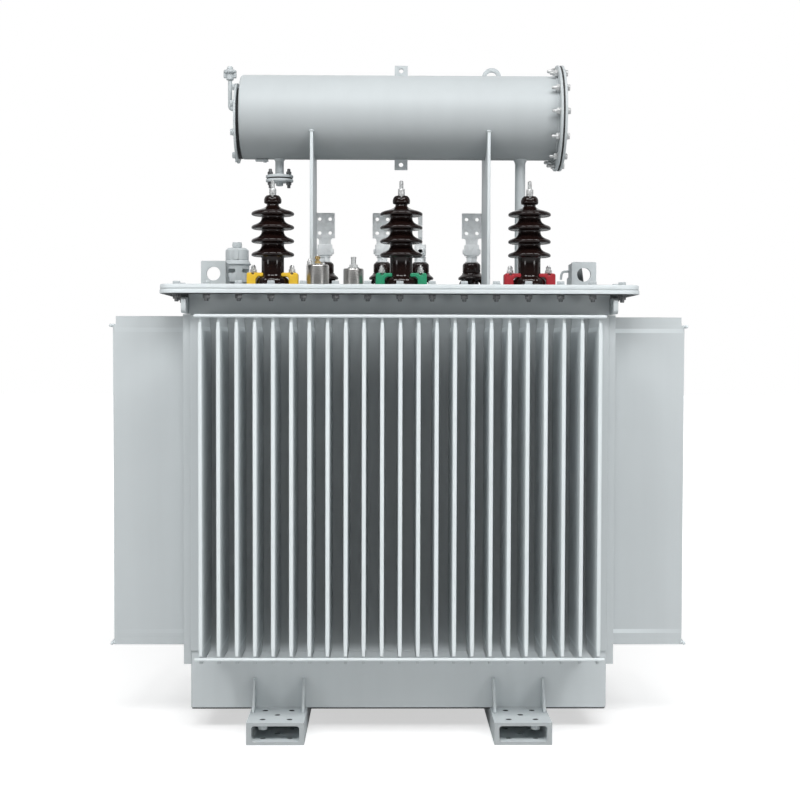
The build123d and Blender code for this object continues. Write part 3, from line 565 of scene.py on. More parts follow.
def coolingWalls():
    w = finWall
    for name, outward in (("front", -yAxis), ("rear", yAxis), ("left", -xAxis), ("right", xAxis)):
        axis = int(np.abs(outward).argmax())
        isLong = axis == 1
        sheet, count = (w["longSheet"], w["longCount"]) if isLong else (w["sideFrame"], w["sideCount"])
        low, high = boxOf(name + "_fin_panel")
        depth = high[axis] - low[axis] - sheet
        wall = corrugatedWall(outward * tankHigh[axis], outward, 2 * tankHigh[1 - axis], sheet, depth, count,
                              low[2], high[2], int(isLong))
        pale = paintedFinShading(wall[0], axis, depth, w["creaseHighlight"][name])
        addPiece(name + "Fins", wall, "grey_paint", [name + "_fin_panel"], pale=pale)


# weld: half-width, half-height, cut short of its poles, rows and sides
finRod = {"radius": 4.5, "domeStart": 0.15, "weld": (6.5, 4.6, 0.25, 6, 10), "weldSink": 0.9}


# round bar with domed ends, and a small weld where it crosses every fin
def finRods():
    w = finWall
    r = finRod["radius"]
    dome = np.linspace(finRod["domeStart"], np.pi / 2, 5)
    ends = np.stack([r * np.sin(dome), r - r * np.cos(dome)], -1)
    dab = weldDab(*finRod["weld"])
    for name, axis, count in (("front", 0, w["longCount"]), ("rear", 0, w["longCount"]),
                              ("left", 1, w["sideCount"]), ("right", 1, w["sideCount"])):
        low, high = boxOf(name + "_fin_rods")
        length = high[axis] - low[axis]
        bar = turned(np.concatenate([ends, np.stack([ends[::-1, 0], length - ends[::-1, 1]], -1)]), 16)
        along = np.eye(3)[axis]
        bar = laid(bar, -along * length / 2, across=zAxis, up=along)
        spread = (np.arange(count) - (count - 1) / 2) * w["pitch"]
        middle = (low + high) / 2
        outwards = np.sign(middle) * (np.arange(3) == 1 - axis)
        shapes = []
        for z in (low[2] + r, high[2] - r):
            spot = np.array([middle[0], middle[1], z])
            shapes.append(repeated(bar, spot))
            shapes.append(repeated(dab, spot - outwards * r * finRod["weldSink"] + spread[:, None] * along))
        bars = joined(*shapes)
        # every bar carries a painted highlight over the whole of it
        addPiece(name + "Rods", bars, "grey_paint", [name + "_fin_rods"], pale=np.ones(len(bars[0])))


coolingWalls()
finRods()
print("cooling walls ready")


# the last value is painted shade on the underside of the flange
coverStack = {"cornerRadius": 46, "coverEdge": 2.2, "flangeThickness": 10, "flangeEdge": 1.6, "bandWall": 10,
              "bandStep": 4, "bandRadius": 4, "bandEdge": 1.0, "overlap": 2, "flangeUndersideShade": -2.9}


# painted light of a plate's points: a painted highlight of 1 on the rim, 0 on the upper face and another
# value on the lower face, where it is painted shade under the flange
def paintedRimShading(points, below=0.0, skin=0.2):
    low, high = points[:, 2].min(), points[:, 2].max()
    return np.where(points[:, 2] < low + skin, below, np.where(points[:, 2] > high - skin, 0.0, 1.0))


def coverPlates():
    c = coverStack
    low, high = coverLow, coverHigh
    frameLow, frameHigh = boxOf("tank_upper_frame")
    radius = c["cornerRadius"] - low[0] + frameLow[0]
    lid = plate(boxOutline(low, high, radius), high[2] - low[2], c["coverEdge"], steps=5)
    addPiece("coverLid", laid(lid, low[2] * zAxis), "grey_paint", ["cover_plate"], pale=paintedRimShading(lid[0]))
    bandLow = tankLow[:2] - c["bandStep"]
    inner = boxOutline(bandLow + c["bandWall"], -bandLow - c["bandWall"], c["bandRadius"], 4)
    outline = boxOutline(frameLow, frameHigh, c["cornerRadius"])
    flange = plate(outline, c["flangeThickness"], c["flangeEdge"], [inner], 4)
    flangeBase = frameHigh[2] - c["flangeThickness"]
    tall = flangeBase - frameLow[2] + c["overlap"]
    band = plate(boxOutline(bandLow, -bandLow, c["bandRadius"], 4), tall, c["bandEdge"], [inner])
    pale = np.concatenate([paintedRimShading(flange[0], c["flangeUndersideShade"]), np.zeros(len(band[0]))])
    shape = joined(laid(flange, flangeBase * zAxis), laid(band, frameLow[2] * zAxis))
    addPiece("upperFrame", shape, "grey_paint", ["tank_upper_frame"], pale=pale)


coverBolt = {"head": (("washer", 0, 12.5, 2.5), ("hex", 2.5, 19, 8)),
             "nut": (("washer", 0, 12.5, 2.5), ("hex", 2.5, 19, 11), ("stud", 2.5, 6, 18)),
             "frontReach": 524, "frontCount": 13, "frontLine": 298,
             "sideReach": 262, "sideCount": 6, "sideLine": 610}


def coverBolting():
    b = coverBolt
    under = boxOf("tank_upper_frame")[1][2] - coverStack["flangeThickness"]
    along = np.linspace(-b["frontReach"], b["frontReach"], b["frontCount"])
    aside = np.linspace(-b["sideReach"], b["sideReach"], b["sideCount"])
    spots = [(x, end * b["frontLine"], 0) for end in (-1, 1) for x in along]
    spots = np.array(spots + [(side * b["sideLine"], y, 0) for side in (-1, 1) for y in aside])
    addPiece("coverBoltHeads", repeated(fastener(b["head"]), spots + coverTop * zAxis), "grey_paint")
    nuts = repeated(laid(fastener(b["nut"]), up=-zAxis), spots + under * zAxis)
    addPiece("coverBoltNuts", nuts, "zinc_plate").data.materials[0] = darkSteel


coverPlates()
coverBolting()
print("cover ready")


hvBushing = {
    "shed": 60, "sheds": 4, "first": 84, "pitch": 38, "sides": 72,
    # radius and height: the foot, one shed from its base up, and the neck from the base of the last shed
    "foot": ((43, 0), (44.5, 2.5), (45.1, 9), (44.5, 16), (43, 21), (39.5, 25), (35.5, 26.8), (34.2, 27.8),
             (32.9, 30), (31.9, 35), (31.5, 42), (31.5, 62)),
    "fall": ((31.5, -4), (33, -0.5), (36.5, 1), (51, 1.5), (55.5, 0.5), (58.8, 1.8), (60, 5), (59.2, 8.2),
             (56, 11), (49, 14), (40.5, 18), (35.5, 21.5), (32.7, 26), (31.5, 31)),
    "neck": ((38.5, 17), (28.5, 20.5), (21, 24), (17, 28), (17, 33)), "lastFall": 10,
    "ribs": 18, "ribDepth": 0.025, "ribHeight": 15, "ribReach": 12,
    "knob": ((18.5, 231), (23.5, 233), (24.5, 238), (24.5, 244), (22.5, 250), (18.5, 254), (13.5, 255)),
    "capTop": 255, "notchDrop": 12, "notchDepth": 8, "notchPower": 16,
}
hvLow, hvHigh = boxOf("hv_bushings")
hvPlaces = np.array([(x, (hvLow[1] + hvHigh[1]) / 2, coverTop)
                     for x in np.linspace(hvLow[0] + hvBushing["shed"], hvHigh[0] - hvBushing["shed"], 3)])


# porcelain: an outline of a ribbed foot, sheds that fall away to their rims and a neck is turned;
# the rounded knob on top has its crown notched four times round
def hvPorcelain():
    h = hvBushing
    outline = list(h["foot"])
    for k in range(h["sheds"]):
        base = h["first"] + k * h["pitch"]
        fall = h["fall"][:h["lastFall"]] if k == h["sheds"] - 1 else h["fall"]
        outline += [(r, base + z) for r, z in fall]
    outline = np.array(outline + [(r, base + z) for r, z in h["neck"]])
    angle = turns(h["sides"])
    nearRibs = 1 - np.abs(outline[:, 1] - h["ribHeight"]) / h["ribReach"]
    ribbing = np.clip(nearRibs, 0, 1)[:, None] * h["ribDepth"]
    body = turned(outline, h["sides"], 1 + ribbing * np.cos(h["ribs"] * angle))
    knob = np.array(h["knob"])
    notch = np.cos(2 * angle) ** h["notchPower"]
    deep = np.clip((knob[:, 1] - h["capTop"]) / h["notchDrop"] + 1, 0, 1)[:, None] * h["notchDepth"]
    cap = turned(knob, h["sides"], 1, -deep * notch)
    addPiece("hvPorcelain", repeated(joined(body, cap), hvPlaces), "brown_porcelain", ["hv_bushings"], 60)


hvStud = {"nut": (("washer", 249, 13, 3), ("washer", 252, 10.5, 7), ("hex", 259, 19, 15)), "base": 271,
          "radius": 5.6, "length": 27, "tip": 3, "tipShare": 0.5, "grain": 0.35, "thread": 1.75,
          "threadDepth": 0.055, "sides": 24}


# terminal: washers, a nut and a stud, whose thread is a radius that rises and falls with height and turn
def hvTerminalStuds():
    s = hvStud
    height = np.arange(0, s["length"] + 0.01, s["grain"])
    thread = 1 + s["threadDepth"] * np.cos(2 * np.pi * height[:, None] / s["thread"] - turns(s["sides"]))
    taper = np.clip((s["length"] - height) / s["tip"], s["tipShare"], 1)
    screw = turned(np.stack([s["radius"] * taper, height], -1), s["sides"], thread)
    terminal = joined(fastener(s["nut"]), laid(screw, s["base"] * zAxis))
    addPiece("hvTerminalStuds", repeated(terminal, hvPlaces), "zinc_plate", ["hv_terminals"])


hvClamp = {"outer": 71.5, "leg": 46, "width": 46, "tip": 25, "height": 38.5, "arm": 11.5, "arch": 6,
           "slot": (51.5, 56.5), "slotMouth": 2.5, "slotDepth": 5.5, "edge": 2.0,
           "radii": (1, 1, 6, 1.5, 1.5, 1.5, 1.5, 5, 4, 4, 4), "studReach": 54,
           "stud": (("washer", 38.5, 10.5, 3), ("hex", 41.5, 18, 7), ("hex", 48.5, 13.5, 9, 0.3),
                    ("stud", 20, 4.5, 41))}


# hook clamp: the outline of a leg, a slotted arm and a rounded finger, carried across its width
def hookClamp():
    c = hvClamp
    leg, outer, tip, high, arch = c["leg"], c["outer"], c["tip"], c["height"], c["arch"]
    (near, far), mouth = c["slot"], c["slotMouth"]
    floor, under = high - c["slotDepth"], high - c["arm"]
    outline = rounded([(leg, 0), (outer, 0), (outer, high), (far + mouth, high), (far, floor), (near, floor),
                       (near - mouth, high), (tip, high), (tip, under), (leg - arch, under + 1),
                       (leg, under - arch)], c["radii"], 5)
    return laid(plate(outline, c["width"], c["edge"], steps=4), c["width"] / 2 * yAxis, up=-yAxis)


def hvClamps():
    c = hvClamp
    spots = np.concatenate([hvPlaces + side * c["studReach"] * xAxis for side in (-1, 1)])
    addPiece("hvClampStuds", repeated(fastener(c["stud"]), spots), "zinc_plate")
    pair = joined(hookClamp(), laid(hookClamp(), across=-xAxis))
    for name, paint, spot in zip(("left", "middle", "right"), brightPaints, hvPlaces):
        addPiece(name + "HookClamps", laid(pair, spot), paint + "_paint", ["hv_clamps_" + name])


hvPorcelain()
hvTerminalStuds()
hvClamps()
print("high-voltage side ready")


lvBushing = {
    "places": (-223, -48, 67, 224), "turned": 2, "sides": 64,
    "outline": ((22, 0), (22, 30), (24, 36), (35, 37.5), (39.5, 38.5), (41, 42), (40, 45.5), (36, 48.5),
                (31, 53), (29, 55), (29, 58), (26, 59), (27.5, 62), (27.5, 82), (25.5, 87), (20.5, 90)),
    "grooves": 8, "grooveDepth": 0.05, "grooveSpan": (60, 92), "grooveFade": 4,
    "legs": 8, "legTurn": 0.2, "leg": ((27, 0, 36), (33.5, 0, 29), (37, 0, 19), (39, 0, 9), (40.5, 0, 0)),
    "legRadius": (4.2, 4, 3.6, 3.6, 4),
}
lvLow, lvHigh = boxOf("lv_bushings")
lvPlaces = np.array([(x, (lvLow[1] + lvHigh[1]) / 2, coverTop) for x in lvBushing["places"]])


# porcelain: a turned outline with a drooping shed and a grooved cap, on splayed feet of bent round bar
def lvPorcelain():
    v = lvBushing
    outline = np.array(v["outline"])
    angle = turns(v["sides"])
    start, stop = v["grooveSpan"]
    inside = np.minimum(outline[:, 1] - start, stop - outline[:, 1])
    grooved = np.clip(inside / v["grooveFade"], 0, 1)[:, None] * v["grooveDepth"]
    body = turned(outline, v["sides"], 1 - grooved * np.clip(np.cos(v["grooves"] * angle), 0, 1) ** 3)
    leg = tube(v["leg"], v["legRadius"], 10)
    legs = [laid(leg, across=(np.cos(turn), np.sin(turn), 0)) for turn in turns(v["legs"]) + v["legTurn"]]
    addPiece("lvPorcelain", repeated(joined(body, *legs), lvPlaces), "brown_porcelain", ["lv_bushings"], 60)


lvPalm = {"width": 60, "height": 79, "thickness": 12, "edge": 1.2, "base": 161, "neck": 36, "neckBase": 140,
          "step": 3, "flare": 5, "radii": (1, 1, 7, 5, 1.5, 2, 2, 1.5, 5, 7), "holes": (32, 42),
          "holeRadius": 5.5, "grip": (44, 34, 4, 5), "gripBase": 111, "gripHigh": 33, "gripEdge": 2.0,
          "cheeks": (54, 22, 3, 3), "cheekHigh": 15, "cheekBase": 116, "bolt": (13, 6), "boltHeight": 124,
          "seat": (("washer", 90, 20, 3), ("hex", 93, 30, 12), ("washer", 105, 18, 3), ("stud", 107, 14, 5))}


# terminal: hexagon and washers on the cap, a grip with a bolt through its cheeks, and a palm with four holes
def lvTerminals():
    p = lvPalm
    half, neck, base = p["width"] / 2, p["neck"] / 2, p["base"]
    shoulder, crown = base + p["step"], base + p["height"]
    right = [(neck, p["neckBase"]), (neck, base - 1), (neck + p["flare"], shoulder), (half, shoulder),
             (half, crown)]
    left = [(-x, z) for x, z in right[::-1]]
    outline = rounded(left[-1:] + right + left[:-1], p["radii"], 4)
    wide, tall = p["holes"]
    middle = base + p["height"] / 2
    holes = [circle(x * wide / 2, middle + z * tall / 2, p["holeRadius"]) for x in (-1, 1) for z in (-1, 1)]
    palm = laid(plate(outline, p["thickness"], p["edge"], holes), p["thickness"] / 2 * yAxis, up=-yAxis)
    grip = plate(oblong(*p["grip"]), p["gripHigh"], p["gripEdge"])
    cheeks = plate(oblong(*p["cheeks"]), p["cheekHigh"], p["gripEdge"])
    head, reach = hexBlock(*p["bolt"]), p["cheeks"][0] / 2
    bolt = laid(stacked((head, -reach), (head, reach - p["bolt"][1])), across=zAxis, up=xAxis)
    fixed = (grip, p["gripBase"]), (cheeks, p["cheekBase"]), (bolt, p["boltHeight"])
    terminal = joined(palm, stacked(*fixed), fastener(p["seat"]))
    facing = [laid(terminal, spot, across=yAxis if k == lvBushing["turned"] else xAxis)
              for k, spot in enumerate(lvPlaces)]
    addPiece("lvTerminals", joined(*facing), "tinned_metal", ["lv_terminals"])


lvPorcelain()
lvTerminals()
print("low-voltage side ready")


tapHood = {"cap": ((33, 0), (34.5, 1.5), (34.5, 27.5), (33.9, 29.6), (27, 35.4), (25, 36), (11, 36.3),
                   (10, 37), (10, 40)), "knob": (27.7, 15, 0.32, 48), "knobBase": 38, "seam": (15, 31),
           "seamDeep": 8.2, "seamCorner": 2, "seamEdge": 1.0, "seamPlace": (0, -28.5, 0.5), "bodyBevel": 1.2}


# tap changer hood: a coned cap with a raised seam down its front and a bevelled hexagonal knob
def tapChanger():
    t = tapHood
    wide, tall = t["seam"]
    outline = boxOutline((-wide / 2, 0), (wide / 2, tall), t["seamCorner"], 4)
    seam = laid(plate(outline, t["seamDeep"], t["seamEdge"]), t["seamPlace"], up=-yAxis)
    knob = laid(hexBlock(*t["knob"]), t["knobBase"] * zAxis)
    hood = joined(turned(t["cap"], 64), knob, seam)
    addPiece("tapHood", laid(hood, baseOf("tap_changer_hood")), "grey_paint", ["tap_changer_hood"])
    softEdged("tap_changer_body", t["bodyBevel"])


stainlessPot = {
    "pocket": ((32.5, 0), (33, 1.2), (32.5, 2.6), (32, 3.2), (32, 57.5), (31.4, 60), (29.6, 61.6), (26, 62),
               (8, 63)),
    "pocketRing": ((12, 62.4), (12, 65), (10.5, 66)),
    "lidNut": (("washer", 61, 9, 2), ("hex", 63, 14, 10), ("stud", 70, 4, 9)), "lidNutPlace": (-22, -6, 0),
    "plug": (("hex", 62, 13, 7),), "plugPlace": (14, 8, 0),
    "valve": (("hex", 65, 16, 8), ("turned", 73, ((5.5, 0), (5.5, 5), (7.5, 6), (7.5, 12), (5, 14)), 24)),
    "relief": ((29, 0), (29.5, 1), (29, 2.2), (28.5, 2.8), (28.5, 48), (27.8, 50.6), (26, 52), (14, 52.4)),
    "reliefStud": (("washer", 52, 16, 4), ("hex", 55, 24, 8),
                   ("turned", 63, ((7, 0), (7, 17), (8, 18), (8, 21), (6, 22)), 24)),
}


# stainless pots: straight walls with a rolled rim and a slightly domed lid, turned, with fittings on top
def stainlessPots():
    s = stainlessPot
    pocket, relief = baseOf("thermometer_pocket"), baseOf("relief_valve")
    pot = joined(turned(s["pocket"], 64), turned(s["pocketRing"], 32))
    addPiece("thermometerPot", laid(pot, pocket), "stainless", ["thermometer_pocket"])
    nuts = joined(laid(fastener(s["lidNut"]), s["lidNutPlace"]), laid(fastener(s["plug"]), s["plugPlace"]))
    addPiece("pocketNuts", laid(nuts, pocket), "zinc_plate")
    addPiece("pocketValve", laid(fastener(s["valve"]), pocket), "zinc_plate").data.materials[0] = brass
    addPiece("reliefPot", laid(turned(s["relief"], 64), relief), "stainless", ["relief_valve"])
    addPiece("reliefStud", laid(fastener(s["reliefStud"]), relief), "zinc_plate")


# bevel, and the painted light and shade of the faces along X, Y and Z, of the plain plates
plateWork = {"left_lifting_lug": (2.0, None), "right_lifting_lug": (2.0, None), "corner_tabs": (2.0, None),
             "conservator_lugs": (1.2, None), "tank_body": (6.0, (0, 0.45, 0)),
             "skid_gussets": (1.6, (0, 0.4, 1)),
             "left_saddle": (1.6, (0, 1, 1)), "right_saddle": (1.6, (0, 1, 1)),
             "left_skid": (1.6, (0, -0.9, 0.5)), "right_skid": (1.6, (0, -0.9, 0.5))}

tapChanger()
stainlessPots()
for node, (width, tones) in plateWork.items():
    softEdged(node, width, tones)
print("cover fittings ready")


conservator = {
    "radius": 121, "headRadius": 6, "rows": (40, 12), "seamBack": 9.5, "seamRadius": 121.6, "seamBead": 3.6,
    "seamSteps": 160, "ringRadius": 152, "ringEdge": 1.2, "gasketInset": 1, "gasketEdge": 0.5,
    "boltCircle": 137, "bolts": 12, "firstBolt": 0, "plateRadius": 115, "plateEdge": 1.4, "plateBolts": 8,
    "plateCircle": 106, "plateTurn": -22, "plateGasket": 102, "plateGasketEdge": 0.6, "plateThin": 3,
    "boltHead": (("washer", 0, 11, 2), ("hex", 2, 17, 7)),
    "boltEnd": (("washer", 0, 11, 2), ("hex", 2, 17, 9),
                ("turned", 8, ((5, 0), (5, 12), (4, 15), (2.5, 16)), 16)),
    # share of the radius below the axis, and the painted shade there, darker towards the bottom
    "down": (-0.3, 0, 0.3, 0.6, 1), "drumUndersideShade": (0, -0.4, -0.7, -1.0, -1.3),
}
drumLow, drumHigh = boxOf("conservator_shell")
drumAxis = np.array([0, *(drumLow + drumHigh)[1:] / 2])


# shape turned about the drum's axis, starting at an X
def alongX(shape, origin):
    return laid(shape, origin, across=yAxis, up=xAxis)


def onCircle(count, radius, first):
    turn = np.radians(first) + turns(count)
    return np.stack([0 * turn, -radius * np.cos(turn), radius * np.sin(turn)], -1)


# drum: a rounded shoulder and a straight wall, turned about X, with a welded seam at the flange
def conservatorDrum():
    c = conservator
    length = drumHigh[0] - drumLow[0]
    corner = np.linspace(0, np.pi / 2, 7)
    r, head, reach = c["radius"], c["headRadius"], c["seamRadius"]
    shoulder = np.stack([r - head + head * np.sin(corner), head - head * np.cos(corner)], -1)
    near, far = c["rows"]
    wall = [(r, along) for along in (near, length / 2, length - far, length)]
    shell = turned(np.concatenate([shoulder, wall]), 128)
    turn = np.linspace(0, 2 * np.pi, c["seamSteps"])
    seam = np.stack([0 * turn + length - c["seamBack"], reach * np.cos(turn), reach * np.sin(turn)], -1)
    start = drumAxis + drumLow[0] * xAxis
    drum = joined(alongX(shell, start), weldBead(seam + start, c["seamBead"]))
    drumUndersideShade = np.interp((drumAxis[2] - drum[0][:, 2]) / r, c["down"], c["drumUndersideShade"])
    addPiece("conservatorDrum", drum, "grey_paint", ["conservator_shell"], pale=drumUndersideShade)


# flat ends: the plate at the left is thinned, and its gasket fills the difference
def conservatorDiscs():
    c = conservator
    ring, thin = c["ringRadius"], c["plateThin"]
    for name, radius, edge, finish, thicker, shift in (
            ("ring", ring, c["ringEdge"], "grey_paint", 0, 0),
            ("end_gasket", ring - c["gasketInset"], c["gasketEdge"], "gasket_rubber", 0, 0),
            ("end_cover", ring, c["ringEdge"], "grey_paint", 0, 0),
            ("left_gasket", c["plateGasket"], c["plateGasketEdge"], "gasket_rubber", thin, -thin),
            ("left_plate", c["plateRadius"], c["plateEdge"], "grey_paint", -thin, 0)):
        node = "conservator_" + name
        low, high = boxOf(node)
        spot = np.array([low[0] + shift, *(low + high)[1:] / 2])
        addPiece(node + "Disc", alongX(disc(radius, high[0] - low[0] + thicker, edge), spot), finish, [node])


def conservatorBolting():
    c = conservator
    ringLeft, coverRight = boxOf("conservator_ring")[0][0], boxOf("conservator_end_cover")[1][0]
    end, head = fastener(c["boltEnd"]), fastener(c["boltHead"])
    spots = onCircle(c["bolts"], c["boltCircle"], c["firstBolt"]) + drumAxis
    inside = repeated(laid(end, up=-xAxis, across=zAxis), spots + ringLeft * xAxis)
    outside = repeated(laid(head, up=xAxis, across=zAxis), spots + coverRight * xAxis)
    addPiece("conservatorBolts", joined(inside, outside), "zinc_plate")
    low, high = boxOf("conservator_left_plate")
    middle = np.array([low[0], *(low + high)[1:] / 2])
    spots = onCircle(c["plateBolts"], c["plateCircle"], c["plateTurn"]) + middle
    addPiece("endPlateBolts", repeated(laid(head, up=-xAxis, across=zAxis), spots), "grey_paint")


drumBracket = {"x": -400.5, "wide": 37, "deep": 24, "thick": 4, "gap": 2, "sink": 0.5, "blockHigh": 5,
               "corner": 2, "edge": 0.8, "bolt": (10, 4)}


# cable bracket: a small plate on a block under the drum, held by a bolt
def cableBracket():
    b = drumBracket
    wide, deep, thick = b["wide"], b["deep"], b["thick"]
    shelf = plate(oblong(wide, deep, b["corner"]), thick, b["edge"])
    block = plate(oblong(2 * wide / 3, deep / 2, b["corner"]), b["blockHigh"], b["edge"])
    head = laid(hexBlock(*b["bolt"]), (wide / 4, 0, b["sink"]), up=-zAxis)
    bracket = joined(shelf, laid(block, (thick - b["sink"]) * zAxis), head)
    spot = drumAxis + [b["x"], 0, -conservator["radius"] - b["gap"] - thick]
    addPiece("cableBracket", laid(bracket, spot), "grey_paint")


vent = {"pipe": 6, "bend": 8, "standOff": 19, "elbow": 6, "capHigh": 39, "earReach": 13.5, "earBase": 6,
        "ear": (10, 14, 3), "earHigh": 16, "earEdge": 1.5, "sleeve": ((10, 0), (11, 1), (11, 27), (9.5, 28)),
        "brim": ((17, 20), (19, 21), (19, 26), (16, 28.5), (9, 30)),
        "knob": ((8, 28), (9, 30), (9, 36), (6.5, 39)), "collar": ((9, 0), (9, 5), (7, 7))}


# vent: a bent pipe under a cap with two ears and a knob
def ventPipe():
    v = vent
    low, high = boxOf("vent_pipe")
    x, y = low[0] + v["standOff"], (low[1] + high[1]) / 2
    elbow, capBase = low[2] + v["elbow"], high[2] - v["capHigh"]
    route = rounded([(high[0], y, elbow), (x, y, elbow), (x, y, capBase)], v["bend"], 8, False)
    pipe = tube(route, v["pipe"], 20)
    ear = plate(oblong(*v["ear"]), v["earHigh"], v["earEdge"])
    ears = [laid(ear, (side * v["earReach"], 0, v["earBase"])) for side in (-1, 1)]
    cap = joined(turned(v["sleeve"], 28), turned(v["brim"], 36), turned(v["knob"], 28), *ears)
    collar = laid(turned(v["collar"], 24), (high[0], y, elbow), across=yAxis, up=-xAxis)
    addPiece("ventPipe", joined(pipe, laid(cap, (x, y, capBase)), collar), "grey_paint", ["vent_pipe"])


breather = {"flange": 40, "flangeHigh": 7.5, "flangeEdge": 1.2, "gasketRadius": 37, "gasketHigh": 4,
            "gasketEdge": 0.6, "pipe": 12.5, "sink": 2, "neck": ((16.5, -1), (15.5, 2), (12.5, 5)),
            "flare": ((12.5, -6), (16.5, -1), (17.5, 4)), "plug": ((8.5, 0), (10.5, 1.5)), "plugRadius": 10.5,
            "bolt": (("stud", -25, 5, 56), ("hex", -16.5, 15, 9), ("washer", 11.5, 9, 2),
                     ("hex", 13.5, 15, 9)),
            "boltCircle": 27, "bolts": 2}


# breather branch: pipe with a flared weld, two thin flanges about a gasket, a plug below and two long studs
def breatherBranch():
    b = breather
    tall, sink = b["flangeHigh"], b["sink"]
    low, high = boxOf("breather_stub")
    x, y = baseOf("breather_stub")[:2]
    length = high[2] - low[2]
    flange = disc(b["flange"], tall, b["flangeEdge"], 56)
    tubing = turned([(b["pipe"], tall - sink)] + [(r, length + up) for r, up in b["flare"]], 32)
    neck = turned([(r, tall + up) for r, up in b["neck"]], 32)
    stub = laid(joined(flange, tubing, neck), (x, y, low[2]))
    addPiece("breatherStub", stub, "grey_paint", ["breather_stub"])
    gasket = baseOf("breather_gasket")
    ring = disc(b["gasketRadius"], b["gasketHigh"], b["gasketEdge"], 56)
    addPiece("breatherGasket", laid(ring, gasket), "gasket_rubber", ["breather_gasket"])
    foot = boxOf("breather_blank")[0][2]
    plug = turned([*b["plug"], (b["plugRadius"], gasket[2] - foot - sink)], 24)
    blank = joined(laid(flange, (x, y, gasket[2] - tall)), laid(plug, (x, y, foot)))
    addPiece("breatherBlank", blank, "grey_paint", ["breather_blank"])
    spots = [(*spot, gasket[2]) for spot in circle(x, y, b["boltCircle"], b["bolts"])]
    bolts = repeated(fastener(b["bolt"]), spots)
    addPiece("breatherBolts", bolts, "zinc_plate").data.materials[0] = darkSteel


oilLine = {"foot": ((24, 0), (24, 7), (22.5, 9), (19, 10.5), (16.5, 14), (15, 19)),
           "flare": ((15, -14), (16, -8), (19, -2), (22, 4))}


# oil pipe: straight, with a flange and a weld flare at the foot and a flare under the drum
def oilPipe():
    low, high = boxOf("oil_pipe")
    length = high[2] - low[2]
    pipe = turned([*oilLine["foot"], *[(r, length + up) for r, up in oilLine["flare"]]], 36)
    addPiece("oilPipe", laid(pipe, baseOf("oil_pipe")), "grey_paint", ["oil_pipe"])


conservatorDrum()
conservatorDiscs()
conservatorBolting()
cableBracket()
ventPipe()
breatherBranch()
oilPipe()
print("conservator ready")


weld = {"bead": 3.2, "proud": 0.5, "lugInset": 3, "skidInset": 12, "sheetProud": 3, "sheetDrop": 1,
        "dab": (7.5, 4.5, 0.2, 8, 16), "dabInset": 5, "dabSink": 1}


# straight seams along X between the ends of a box, one at each Y
def crossSeams(box, inset, places, height):
    return [[(box[0][0] + inset, y, height), (box[1][0] - inset, y, height)] for y in places]


# beads along straight edges, and a dab at each end of the top of a saddle
def weldSeams():
    w = weld
    proud, back = w["proud"], tankHigh[1]
    paths, dabs = [], []
    for side in ("left", "right"):
        low, high = boxOf(side + "_lifting_lug")
        paths += crossSeams((low, high), w["lugInset"], [low[1] - proud], low[2] + proud)
    for side in ("left", "right"):
        low, high = boxOf(side + "_saddle")
        for x in (low[0] - proud, high[0] + proud):
            paths.append([(x, low[1], low[2] + proud), (x, high[1], low[2] + proud)])
        for y in (low[1] + w["dabInset"], high[1] - w["dabInset"]):
            dabs.append(((low[0] + high[0]) / 2, y, high[2] - w["dabSink"]))
    for side in ("left", "right"):
        low, high = boxOf(side + "_skid")
        paths += crossSeams((low, high), w["skidInset"], (-back - proud, back + proud), high[2] + proud)
    low, high = boxOf("front_fin_panel")
    reach = back + w["sheetProud"]
    paths += crossSeams((low, high), 0, (-reach, reach), low[2] - w["sheetDrop"])
    beads = [weldBead(path, w["bead"]) for path in paths]
    addPiece("weldSeams", joined(*beads, repeated(weldDab(*w["dab"]), dabs)), "grey_paint")


lugIron = {"hookBack": 50, "hookHeight": 55, "hookWire": 3.4, "hookBend": 10,
           "hookRoute": ((2, 0), (-21, -1), (-24, -24)), "brace": ((0, 0), (38, 0), (29, 70), (0, 70)),
           "braceThick": 6, "braceCorner": 3, "braceEdge": 1.0, "bracePlace": (6, 50, 0), "braceShade": -2.3}


# lashing hook beside the right lug, a thin bar bent down at its end,
# and the brace behind that lug, a narrow plate on the rib, part of the way across the back of the hole
def lugHook():
    g = lugIron
    low, high = boxOf("right_lifting_lug")
    y, z = high[1] - g["hookBack"], low[2] + g["hookHeight"]
    route = rounded([(low[0] + out, y, z + up) for out, up in g["hookRoute"]], g["hookBend"], 8, False)
    addPiece("lugHook", tube(route, g["hookWire"], 14), "grey_paint")
    brace = plate(rounded(g["brace"], g["braceCorner"], 4), g["braceThick"], g["braceEdge"])
    brace = laid(brace, low + g["bracePlace"], up=-yAxis)
    # the brace's grey paint is darkened throughout by painted shade
    addPiece("lugBrace", brace, "grey_paint", pale=np.full(len(brace[0]), g["braceShade"]))


skidHole = {"inset": 84, "pitch": (72, 94), "radius": 8.4, "bore": 7.6, "wall": 9, "shadeLiner": 7,
            "linerEdge": 0.2, "linerLift": 0.5, "bolt": (("washer", 0, 14, 3), ("hex", 3, 24, 14, 0.25)),
            "boltPlace": (36, 37)}


